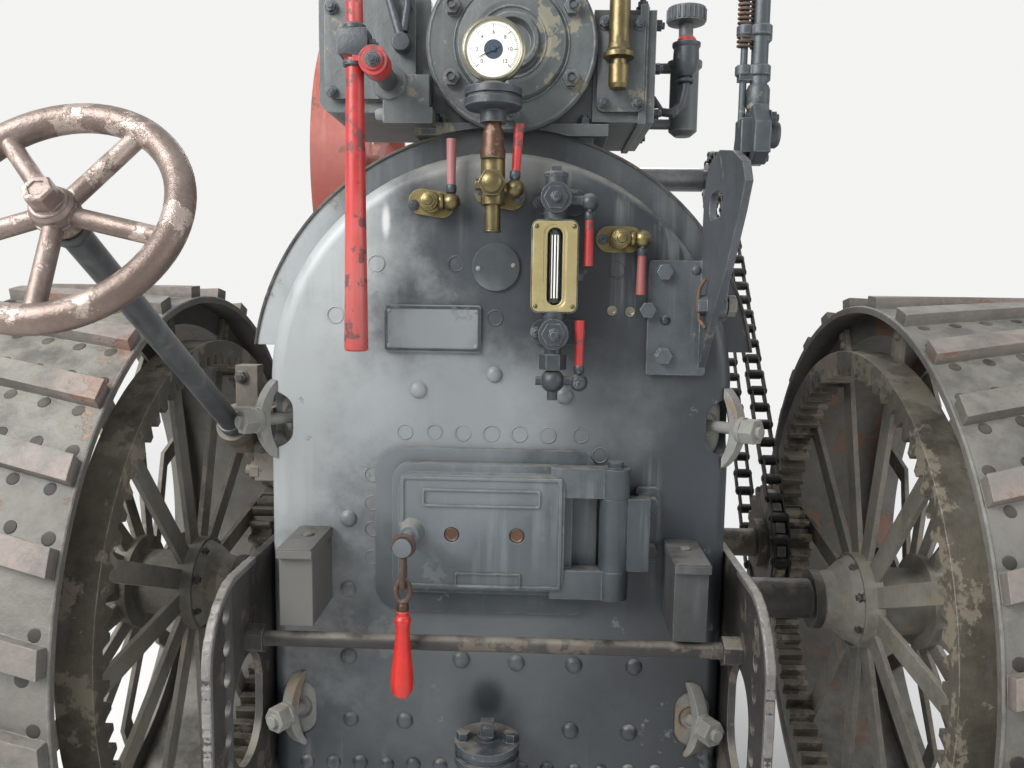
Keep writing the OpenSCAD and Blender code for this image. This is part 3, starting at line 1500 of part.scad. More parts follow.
// The red lever hangs from its head block, which turns on the cross shaft of the regulator
module regulator_lever() {
  x = regulator_x;
  y = -regulator_back;
  z = regulator_z;
  half = 24;
  color("dimgray") {
    block([x - half, y - 20, z - half + 8], [x + half, y + 20, z + half]);
    at([x, y, z - half]) rotate([0, 0, 45]) cylinder(d1 = 1.4 * half, d2 = 2.2 * half, h = 9, $fn = 4);
    at([x, y, z + half - 1]) cylinder(d = 28, h = 250);
    bar_y(y - 26, cyl_y - 12 + 26 - y, shaft_d, shaft_x, shaft_z);
    block([x, y - 20, z - half - 4], [shaft_x, y + 20, z - 4]);
    bar_y(y - 22, 44, shaft_d + 14, shaft_x, shaft_z);
    at([x, y, z - half - 8]) cylinder(d = 34, h = 12);
  }
  color("firebrick") at([x, y, z - half - reg_len]) rotate_extrude() polygon([
    [0, 0], [regulator_d / 2 - 3, 0], [regulator_d / 2, 3], [regulator_d * 0.36, reg_len - 5],
    [0, reg_len - 5]]);
}

// The stand of the reversing lever: a bolted base and a slotted web that reaches back over the footplate
module lever_stand() {
  base_w = 106;
  base_h = 206;
  base_z = reverse_z - 24;
  color("dimgray") {
    along_y(-stand_t, stand_t) at([web_x - base_w / 2 + stand_t, base_z]) rounded(base_w, base_h, 6);
    difference() {
      along_x(web_x, stand_t) difference() {
        polygon([[-1, base_z - 99], [-75, base_z - 30], [-128, base_z + 18], [-206, base_z + 82],
          [-283, base_z + 167], [-311, base_z + 206], [-290, base_z + 236], [-220, base_z + 262],
          [-125, base_z + 278], [-40, base_z + 264], [-8, base_z + 226], [-1, base_z + 140]]);
        at([-112, base_z + 191]) rounded(110, 44, 22 - nib);
      }
      bar_x(web_x - 1, stand_t + 2, reverse_pin_d - nib, -pivot_y, reverse_z);
    }
    bar_x(web_x - 12, stand_t + reverse_gap + 12 + 14 + 10, reverse_pin_d, -pivot_y, reverse_z);
    hex_x(web_x - 16, 16, 32, -pivot_y, reverse_z);
    hex_x(reverse_x + 14 + 5, 14, 32, -pivot_y, reverse_z);
    for (p = [[web_x - 67, base_z + 82], [web_x - 64, base_z - 68], [web_x - 95, base_z + 14]])
      hex_y(-stand_t - 16, 17, 26, p[0], p[1]);
  }
}

// The reversing lever outside the web, with its socket, rod and latch rod
module reversing_lever() {
  lean = 22;
  socket_z = 280;
  y = -pivot_y - socket_z * tan(lean);
  rod_x = reverse_x + 28;
  top = reverse_z + reverse_len;
  color("dimgray") difference() {
    union() {
      along_x(reverse_x, 14) at([-pivot_y, reverse_z]) {
        circle(26);
        rotate(lean) at([-16, 0]) square([32, socket_z / cos(lean)]);
      }
      block([reverse_x, y - 22, reverse_z + socket_z - 40], [rod_x + 18, y + 22, reverse_z + socket_z + 12]);
      hex_x(rod_x + 17, 14, 26, y, reverse_z + socket_z - 14);
      at([rod_x, y, reverse_z + socket_z]) cylinder(d = 26, h = top - reverse_z - socket_z);
      at([rod_x - 24, y, reverse_z + socket_z]) cylinder(d = 11, h = top - reverse_z - socket_z - 40);
      for (dz = [70, 130]) block([rod_x - 32, y - 9, reverse_z + socket_z + dz],
        [rod_x + 16, y + 9, reverse_z + socket_z + dz + 22]);
    }
    bar_x(reverse_x - 1, 16, reverse_pin_d + 2 * pin_gap, -pivot_y, reverse_z);
  }
}

// Places children on the steering column: z runs up the column from its bracket
module on_column() {
  at(column_foot) rotate([90 - column_slope, 0, 0]) children();
}

// The column's bracket on the firebox and the closed worm case at its lower end
module steering_column() {
  bore = column_d + 2 * pin_gap;
  x = column_x;
  color("dimgray") difference() {
    union() {
      on_column() at([0, 0, -34]) cylinder(d = column_d + 26, h = 68);
      block([-x - 16, cyl_y - 30, 1196], [-firebox_half, cyl_y + 60, 1222]);
      block([-x + 4, cyl_y - 22, 1196], [-x + 46, cyl_y + 12, 1302]);
      block([-x + 24, flange_y + 6, 1070], [-firebox_half, flange_y + 40, 1222]);
      bar_x(-x + 4, 40, 22, flange_y + 22, 1088);
      hex_x(-x + 14, 18, 34, flange_y + 22, 1088);
      block([-x - 40, drum_y - 222, drum_z - 50], [-horn_out, drum_y - 148, drum_z + 305]);
      block([-x - 40, drum_y - 149, drum_z - 50], [-horn_out, drum_y + 40, drum_z + 60]);
    }
    on_column() at([0, 0, -column_down - 5]) cylinder(d = bore, h = column_down + column_up);
  }
}

// The steering wheel, its hub, its five spokes and the long column
module steering_wheel() {
  color("dimgray") on_column() {
    at([0, 0, -column_down]) cylinder(d = column_d, h = column_down + column_up);
    at([0, 0, column_up]) {
      at([0, 0, -26]) rotate_extrude() polygon([[0, 0], [20, 0], [27, 9], [27, 41],
        [22, 47], [17, 49], [17, 72], [0, 72]]);
      rotate_extrude() at([steer_r, 0]) circle(d = steer_rim_d);
      for (i = [0 : 4]) rotate([0, 0, i * 72 + 58]) rotate([0, 90, 0])
        at([0, 0, 21]) cylinder(d = 24, h = steer_r - 25);
    }
  }
}

module front_axle() {
  half = front_track / 2 - front_w / 2 - 20;
  low = front_r - front_axle_d * 0.75;
  color("dimgray") {
    difference() {
      block([-90, front_y - 70, low + beam_h - nib], [90, front_y + 70, arch_z]);
      bar_y(barrel_end, smoke_len, 2 * smoke_r + 2 * seat, 0, arch_z);
    }
    block([-half, front_y - 45, low], [half, front_y + 45, low + beam_h]);
    bar_x(-front_track / 2 - front_w / 2 - 40, front_track + front_w + 80, front_axle_d, front_y, front_r);
  }
}

module front_wheels() {
  color("gray") for (s = [-1, 1]) mirror([s > 0 ? 0 : 1, 0, 0])
    at([front_track / 2 - front_w / 2, front_y, front_r]) difference() {
      union() {
        along_x(0, front_w) difference() {
          circle(front_r, $fn = 120);
          circle(front_r - front_tread_t, $fn = 120);
        }
        bar_x(-10, front_w + 20, 150, 0, 0);
        for (i = [0 : front_spokes - 1]) rotate([i * 360 / front_spokes, 0, 0])
          block([front_w / 2 - 7, -22, 0], [front_w / 2 + 7, 22, front_r - front_tread_t + 4]);
      }
      bar_x(-20, front_w + 40, front_axle_d + 2 * pin_gap, 0, 0);
    }
}

// The steering drum between the horn plates and the two chains to the front axle
module steering_chains() {
  color("dimgray") {
    bar_x(-horn_in - horn_t / 2, 2 * horn_in + horn_t, drum_d - 2 * seat, drum_y, drum_z);
    for (s = [-1, 1])
      bar_y(drum_y, front_y - 45 - drum_y - seat, steer_chain_d, s * steer_chain_x,
        drum_z - (drum_d + steer_chain_d) / 2);
  }
}

// The drawing starts at the backhead: it is moved to the middle of the engine's length and width
at([-middle_x, -middle_y, 0]) {
  backhead();
  firebox_wrapper();
  inner_firebox();
  grate();
  foundation_ring();
  ashpan();
  throat_plate();
  boiler_barrel();
  crown_lagging();
  barrel_lagging();
  smokebox();
  smokebox_door();
  chimney();
  horn_plate_left();
  horn_plate_right();
  tie_rod();
  stub_axles();
  footplate_brackets();
  mouthpiece();
  fire_door();
  door_handle();
  hand_hole_doors();
  blow_off_flange();
  name_plates();
  water_gauge();
  gauge_glass();
  brass_cocks();
  cock_levers();
  pressure_gauge();
  cylinder_block();
  cylinder_cover();
  valve_chests();
  motion_guides();
  crank_brackets();
  crankshaft();
  flywheel();
  connecting_rod();
  drive_chain();
  lower_sprocket();
  pinion_left();
  pinion_right();
  wheel_rim_left();
  wheel_centre_left();
  ring_gear_left();
  wheel_rim_right();
  wheel_centre_right();
  ring_gear_right();
  regulator_lever();
  lever_stand();
  reversing_lever();
  steering_column();
  steering_wheel();
  front_axle();
  front_wheels();
  steering_chains();
}
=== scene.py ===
import json
import math
import random

import bmesh
import bpy
from mathutils import Matrix, Vector

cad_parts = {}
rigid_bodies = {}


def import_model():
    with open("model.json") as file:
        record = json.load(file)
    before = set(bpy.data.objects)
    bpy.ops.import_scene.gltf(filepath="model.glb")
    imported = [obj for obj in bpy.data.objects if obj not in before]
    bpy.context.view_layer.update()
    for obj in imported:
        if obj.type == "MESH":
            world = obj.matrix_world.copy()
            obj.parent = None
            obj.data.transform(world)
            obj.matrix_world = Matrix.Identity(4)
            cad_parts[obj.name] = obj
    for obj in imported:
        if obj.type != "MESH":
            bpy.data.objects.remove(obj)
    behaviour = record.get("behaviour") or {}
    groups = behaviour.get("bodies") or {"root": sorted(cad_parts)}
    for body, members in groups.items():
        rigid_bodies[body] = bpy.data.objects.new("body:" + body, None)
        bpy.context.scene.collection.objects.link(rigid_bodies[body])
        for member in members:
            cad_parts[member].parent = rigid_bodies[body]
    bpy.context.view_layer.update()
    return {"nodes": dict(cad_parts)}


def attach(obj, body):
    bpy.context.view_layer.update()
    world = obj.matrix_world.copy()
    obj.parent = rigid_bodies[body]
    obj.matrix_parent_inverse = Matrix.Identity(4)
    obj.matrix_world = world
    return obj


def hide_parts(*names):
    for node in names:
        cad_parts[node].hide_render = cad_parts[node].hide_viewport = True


# The rear end of a steam traction engine, dressed over its CAD frame.
# Places below are in millimetres from the rear face of the backhead, on the boiler's centre line,
# with x to the right, y forwards and z up from the ground. spot() turns them into metres in the row frame.

for start in list(bpy.data.objects):
    bpy.data.objects.remove(start)
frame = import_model()
scene = bpy.context.scene
drawingStart = Vector((-0.049, -1.185783, 0.0))
chance = random.Random(7)
print("frame loaded:", len(frame["nodes"]), "nodes")


def spot(x, y, z):
    return drawingStart + Vector((x, y, z)) / 1000


def tone(text):
    parts = [int(text[i:i + 2], 16) / 255 for i in (0, 2, 4)]
    return [v / 12.92 if v <= 0.04045 else ((v + 0.055) / 1.055) ** 2.4 for v in parts] + [1.0]


# ---- camera, light and floor ----

shot = {"place": (76, -1543, 1450.6), "yaw": 0.033, "pitch": 0.110, "roll": -0.015, "lens": 29.64}
room = {"tone": (0.90, 0.90, 0.89, 1), "skyTone": (0.93, 0.97, 1.0, 1), "sky": 0.70, "floorTone": (0.80, 0.79, 0.77, 1),
        "half": 30.0, "fadeStart": 2.6, "fadeEnd": 7.5}
# place and aim in mm, size in m, power in W, colour
lamps = {
    "skyLeft": ((-2600, -2600, 3600), (0, 0, 1250), (2.6, 2.2), 285, (1.0, 0.99, 0.97)),
    "wallRight": ((3600, -1800, 2200), (200, 0, 1100), (2.0, 2.0), 40, (1.0, 0.97, 0.93)),
    "roofFront": ((600, 5200, 4200), (0, 1800, 1200), (3.0, 2.5), 120, (0.97, 0.98, 1.0)),
}


def addNode(tree, kind, settings=None, **inputs):
    # settings are the node's own properties, inputs its sockets by name: a value, or a socket to link
    node = tree.nodes.new(kind)
    for label, value in (settings or {}).items():
        setattr(node, label, value)
    for label, value in inputs.items():
        setInput(tree, node.inputs[label.replace("_", " ")], value)
    return node


def setInput(tree, socket, value):
    if isinstance(value, bpy.types.NodeSocket):
        tree.links.new(value, socket)
    else:
        socket.default_value = value


def addVectorMath(tree, operation, first, second=None):
    node = addNode(tree, "ShaderNodeVectorMath", {"operation": operation})
    for socket, value in zip(node.inputs, (first, second)):
        if value is not None:
            setInput(tree, socket, value)
    return node.outputs["Value"] if operation in ("LENGTH", "DOT_PRODUCT") else node.outputs[0]


def mixShaders(tree, mask, below, above, out):
    mix = addNode(tree, "ShaderNodeMixShader", Fac=mask)
    tree.links.new(below.outputs[0], mix.inputs[1])
    tree.links.new(above.outputs[0], mix.inputs[2])
    tree.links.new(mix.outputs[0], out.inputs["Surface"])


def aimCamera():
    data = bpy.data.cameras.new("camera")
    data.lens = shot["lens"]
    data.sensor_width = 36
    data.clip_start = 0.02
    data.clip_end = 60
    camera = bpy.data.objects.new("camera", data)
    scene.collection.objects.link(camera)
    turn = (Matrix.Rotation(shot["yaw"], 3, "Z") @ Matrix.Rotation(-shot["pitch"], 3, "X")
            @ Matrix.Rotation(shot["roll"], 3, "Y"))
    right, forward, up = turn.col[0], turn.col[1], turn.col[2]
    place = Matrix((right, up, -forward)).transposed().to_4x4()
    place.translation = spot(*shot["place"])
    camera.matrix_world = place
    scene.camera = camera


def addLamp(name, place, aim, size, power, colour):
    data = bpy.data.lights.new(name, "AREA")
    data.shape = "RECTANGLE"
    data.size, data.size_y = size
    data.energy = power
    data.color = colour
    lamp = bpy.data.objects.new(name, data)
    lamp.matrix_world = (Matrix.Translation(spot(*place))
                         @ (spot(*aim) - spot(*place)).to_track_quat("-Z", "Y").to_matrix().to_4x4())
    scene.collection.objects.link(lamp)


def fadeFloor(tree, shader):
    # Far from the engine the floor takes the background's own tone, so no horizon shows
    far = addVectorMath(tree, "LENGTH", tree.nodes.new("ShaderNodeTexCoord").outputs["Object"])
    reach = addNode(tree, "ShaderNodeMapRange", {"interpolation_type": "SMOOTHSTEP"}, Value=far,
                    From_Min=room["fadeStart"], From_Max=room["fadeEnd"])
    glow = addNode(tree, "ShaderNodeEmission", Color=room["tone"])
    mixShaders(tree, reach.outputs["Result"], shader, glow, tree.nodes["Material Output"])


def lightRoom():
    world = bpy.data.worlds.new("paleRoom")
    scene.world = world
    world.use_nodes = True
    tree = world.node_tree
    tree.nodes.clear()
    out = tree.nodes.new("ShaderNodeOutputWorld")
    path = tree.nodes.new("ShaderNodeLightPath")
    seen = tree.nodes.new("ShaderNodeMath")
    seen.operation = "MAXIMUM"
    tree.links.new(path.outputs["Is Camera Ray"], seen.inputs[0])
    tree.links.new(path.outputs["Is Transmission Ray"], seen.inputs[1])
    soft = addNode(tree, "ShaderNodeBackground", Color=room["skyTone"], Strength=room["sky"])
    plain = addNode(tree, "ShaderNodeBackground", Color=room["tone"], Strength=1.0)
    mixShaders(tree, seen.outputs[0], soft, plain, out)
    for name, values in lamps.items():
        addLamp(name, *values)


def layFloor():
    mesh = bpy.data.meshes.new("yard")
    half = room["half"]
    mesh.from_pydata([(-half, -half, 0), (half, -half, 0), (half, half, 0), (-half, half, 0)], [], [(0, 1, 2, 3)])
    floor = bpy.data.objects.new("yard", mesh)
    scene.collection.objects.link(floor)
    material = bpy.data.materials.new("paleFloor")
    material.use_nodes = True
    shader = material.node_tree.nodes["Principled BSDF"]
    shader.inputs["Base Color"].default_value = room["floorTone"]
    shader.inputs["Roughness"].default_value = 0.9
    fadeFloor(material.node_tree, shader)
    mesh.materials.append(material)


scene.view_settings.view_transform = "Standard"
aimCamera()
lightRoom()
layFloor()
print("camera, lamps and floor")

# ---- shader node groups that the finishes share ----


def shaderGroup(name, inputs, outputs):
    tree = bpy.data.node_groups.new(name, "ShaderNodeTree")
    for label, kind, value in inputs:
        socket = tree.interface.new_socket(label, in_out="INPUT", socket_type=kind)
        if value is not None:
            socket.default_value = value
    for label, kind in outputs:
        tree.interface.new_socket(label, in_out="OUTPUT", socket_type=kind)
    start = tree.nodes.new("NodeGroupInput")
    end = tree.nodes.new("NodeGroupOutput")
    return tree, start, end


def addMath(tree, operation, first, second=None, clamp=False):
    node = tree.nodes.new("ShaderNodeMath")
    node.operation = operation
    node.use_clamp = clamp
    for index, value in enumerate((first, second)):
        if value is not None:
            setInput(tree, node.inputs[index], value)
    return node.outputs[0]


def addNoise(tree, vector, scale, detail=4.0, rough=0.55):
    node = addNode(tree, "ShaderNodeTexNoise", Detail=detail, Roughness=rough, Vector=vector, Scale=scale)
    return node.outputs["Fac"]


def addRamp(tree, value, low, high):
    node = addNode(tree, "ShaderNodeMapRange", {"interpolation_type": "SMOOTHSTEP"}, Value=value, From_Min=low,
                   From_Max=high)
    return node.outputs["Result"]


def makePatches():
    # Ragged patches where paint is gone: Amount is the share that is bare
    tree, start, end = shaderGroup("patches", [
        ("Vector", "NodeSocketVector", None), ("Scale", "NodeSocketFloat", 9.0), ("Amount", "NodeSocketFloat", 0.3)],
        [("Mask", "NodeSocketFloat")])
    broad = addNoise(tree, start.outputs["Vector"], start.outputs["Scale"], 9.0, 0.68)
    edge = addMath(tree, "SUBTRACT", 0.72, addMath(tree, "MULTIPLY", start.outputs["Amount"], 0.42))
    mask = addRamp(tree, broad, edge, addMath(tree, "ADD", edge, 0.035))
    tree.links.new(mask, end.inputs["Mask"])
    return tree


def makeMottle():
    # Broad cloudy change of tone over a painted casting
    tree, start, end = shaderGroup("mottle", [
        ("Vector", "NodeSocketVector", None), ("Scale", "NodeSocketFloat", 3.0)], [("Mask", "NodeSocketFloat")])
    broad = addNoise(tree, start.outputs["Vector"], start.outputs["Scale"], 6.0, 0.6)
    fine = addNoise(tree, start.outputs["Vector"], addMath(tree, "MULTIPLY", start.outputs["Scale"], 14.0), 5.0, 0.7)
    both = addMath(tree, "ADD", addMath(tree, "MULTIPLY", broad, 0.72), addMath(tree, "MULTIPLY", fine, 0.28))
    tree.links.new(addRamp(tree, both, 0.36, 0.64), end.inputs["Mask"])
    return tree


def makeStreaks():
    # Drips and rain marks that run down a standing plate
    tree, start, end = shaderGroup("streaks", [
        ("Vector", "NodeSocketVector", None), ("Scale", "NodeSocketFloat", 26.0), ("Amount", "NodeSocketFloat", 0.3)],
        [("Mask", "NodeSocketFloat")])
    stretched = addVectorMath(tree, "MULTIPLY", start.outputs["Vector"], (1.0, 1.0, 0.06))
    lines = addNoise(tree, stretched, start.outputs["Scale"], 4.0, 0.6)
    broad = addNoise(tree, start.outputs["Vector"], 3.2, 3.0, 0.5)
    mask = addMath(tree, "MULTIPLY", addRamp(tree, lines, 0.52, 0.68), addRamp(tree, broad, 0.42, 0.62))
    tree.links.new(addMath(tree, "MULTIPLY", mask, start.outputs["Amount"]), end.inputs["Mask"])
    return tree


def makeDust():
    # Dust on whatever faces up, thicker in broad patches
    tree, start, end = shaderGroup("dust", [
        ("Vector", "NodeSocketVector", None), ("Amount", "NodeSocketFloat", 0.5)], [("Mask", "NodeSocketFloat")])
    facing = tree.nodes.new("ShaderNodeNewGeometry")
    split = tree.nodes.new("ShaderNodeSeparateXYZ")
    tree.links.new(facing.outputs["Normal"], split.inputs[0])
    upward = addRamp(tree, split.outputs["Z"], 0.35, 0.95)
    broad = addRamp(tree, addNoise(tree, start.outputs["Vector"], 14.0, 6.0, 0.65), 0.34, 0.62)
    mask = addMath(tree, "MULTIPLY", addMath(tree, "MULTIPLY", upward, broad), start.outputs["Amount"])
    tree.links.new(mask, end.inputs["Mask"])
    return tree


def makeWornEdges():
    # Paint rubbed off along the edges, broken up by noise, and the softened normal of those edges
    tree, start, end = shaderGroup("wornEdges", [
        ("Vector", "NodeSocketVector", None), ("Radius", "NodeSocketFloat", 0.004), ("Amount", "NodeSocketFloat", 0.6)],
        [("Mask", "NodeSocketFloat"), ("Normal", "NodeSocketVector")])
    soft = addNode(tree, "ShaderNodeBevel", {"samples": 4}, Radius=start.outputs["Radius"])
    flat = tree.nodes.new("ShaderNodeNewGeometry")
    alike = addVectorMath(tree, "DOT_PRODUCT", soft.outputs["Normal"], flat.outputs["Normal"])
    edge = addRamp(tree, addMath(tree, "SUBTRACT", 1.0, alike), 0.008, 0.10)
    broken = addRamp(tree, addNoise(tree, start.outputs["Vector"], 38.0, 7.0, 0.7), 0.36, 0.60)
    mask = addMath(tree, "MULTIPLY", addMath(tree, "MULTIPLY", edge, broken), start.outputs["Amount"])
    tree.links.new(mask, end.inputs["Mask"])
    tree.links.new(soft.outputs["Normal"], end.inputs["Normal"])
    return tree


def makeBloom():
    # A pale or dark patch round one place, ragged at its rim: the paint's own tone in some finishes, painted light and
    # painted shade in others
    tree, start, end = shaderGroup("toneAndLightSpot", [
        ("Vector", "NodeSocketVector", None), ("Middle", "NodeSocketVector", (0, 0, 0)),
        ("Stretch", "NodeSocketVector", (1, 1, 1)), ("Amount", "NodeSocketFloat", 0.6)], [("Mask", "NodeSocketFloat")])
    offset = addVectorMath(tree, "SUBTRACT", start.outputs["Vector"], start.outputs["Middle"])
    length = addVectorMath(tree, "LENGTH", addVectorMath(tree, "MULTIPLY", offset, start.outputs["Stretch"]))
    clouds = addNoise(tree, start.outputs["Vector"], 6.5, 8.0, 0.66)
    near = addMath(tree, "ADD", length, addMath(tree, "MULTIPLY", addMath(tree, "SUBTRACT", clouds, 0.5), 1.1))
    faded = addMath(tree, "SUBTRACT", 1.0, addRamp(tree, near, 0.30, 1.05), clamp=True)
    tree.links.new(addMath(tree, "MULTIPLY", faded, start.outputs["Amount"]), end.inputs["Mask"])
    return tree


def makeBeyond():
    # Everything farther from a wheel's axle than the given radius
    tree, start, end = shaderGroup("beyond", [
        ("Vector", "NodeSocketVector", None), ("Middle", "NodeSocketVector", (0, 0, 0)),
        ("Radius", "NodeSocketFloat", 0.7)], [("Mask", "NodeSocketFloat")])
    offset = addVectorMath(tree, "SUBTRACT", start.outputs["Vector"], start.outputs["Middle"])
    length = addVectorMath(tree, "LENGTH", addVectorMath(tree, "MULTIPLY", offset, (0, 1, 1)))
    over = addMath(tree, "SUBTRACT", length, start.outputs["Radius"])
    ragged = addMath(tree, "MULTIPLY", addMath(tree, "SUBTRACT", addNoise(tree, start.outputs["Vector"], 60.0), 0.5), 1.2)
    tree.links.new(addMath(tree, "ADD", addMath(tree, "MULTIPLY", over, 90.0), ragged, clamp=True), end.inputs["Mask"])
    return tree


def makeGrain():
    # Height of a sand-cast, hammered or rolled skin
    tree, start, end = shaderGroup("grain", [
        ("Vector", "NodeSocketVector", None), ("Fine", "NodeSocketFloat", 420.0), ("Coarse", "NodeSocketFloat", 40.0)],
        [("Height", "NodeSocketFloat")])
    fine = addNoise(tree, start.outputs["Vector"], start.outputs["Fine"], 3.0, 0.6)
    coarse = addNoise(tree, start.outputs["Vector"], start.outputs["Coarse"], 6.0, 0.62)
    tree.links.new(addMath(tree, "ADD", addMath(tree, "MULTIPLY", fine, 0.35), coarse), end.inputs["Height"])
    return tree


groups = {"patches": makePatches(), "mottle": makeMottle(), "streaks": makeStreaks(), "dust": makeDust(),
          "wornEdges": makeWornEdges(), "toneAndLightSpot": makeBloom(), "beyond": makeBeyond(), "grain": makeGrain()}
print("shader groups:", len(groups))

# ---- finishes ----

# The driving wheels: their strakes have a tone of their own
rear = {"y": 441, "z": 726, "radius": 700, "width": 400, "strakes": 28, "slant": 14, "edges": (715, 813), "spokes": 12}

plainFinish = {"base": "3c444b", "dark": "2b3136", "bare": "6a6258", "edge": "8d9297", "dustTone": "a39c8f",
               "mottleScale": 3.0, "patchScale": 9.0, "patchAmount": 0.25, "streakAmount": 0.25, "streakTone": "787d80",
               "dustAmount": 0.45, "edgeRadius": 0.003, "edgeAmount": 0.55, "metal": 0.0, "bareMetal": 0.3,
               "rough": 0.5, "bareRough": 0.62, "bump": 0.25, "fine": 420.0, "coarse": 40.0, "tonePatchesAndPaintedLight": []}

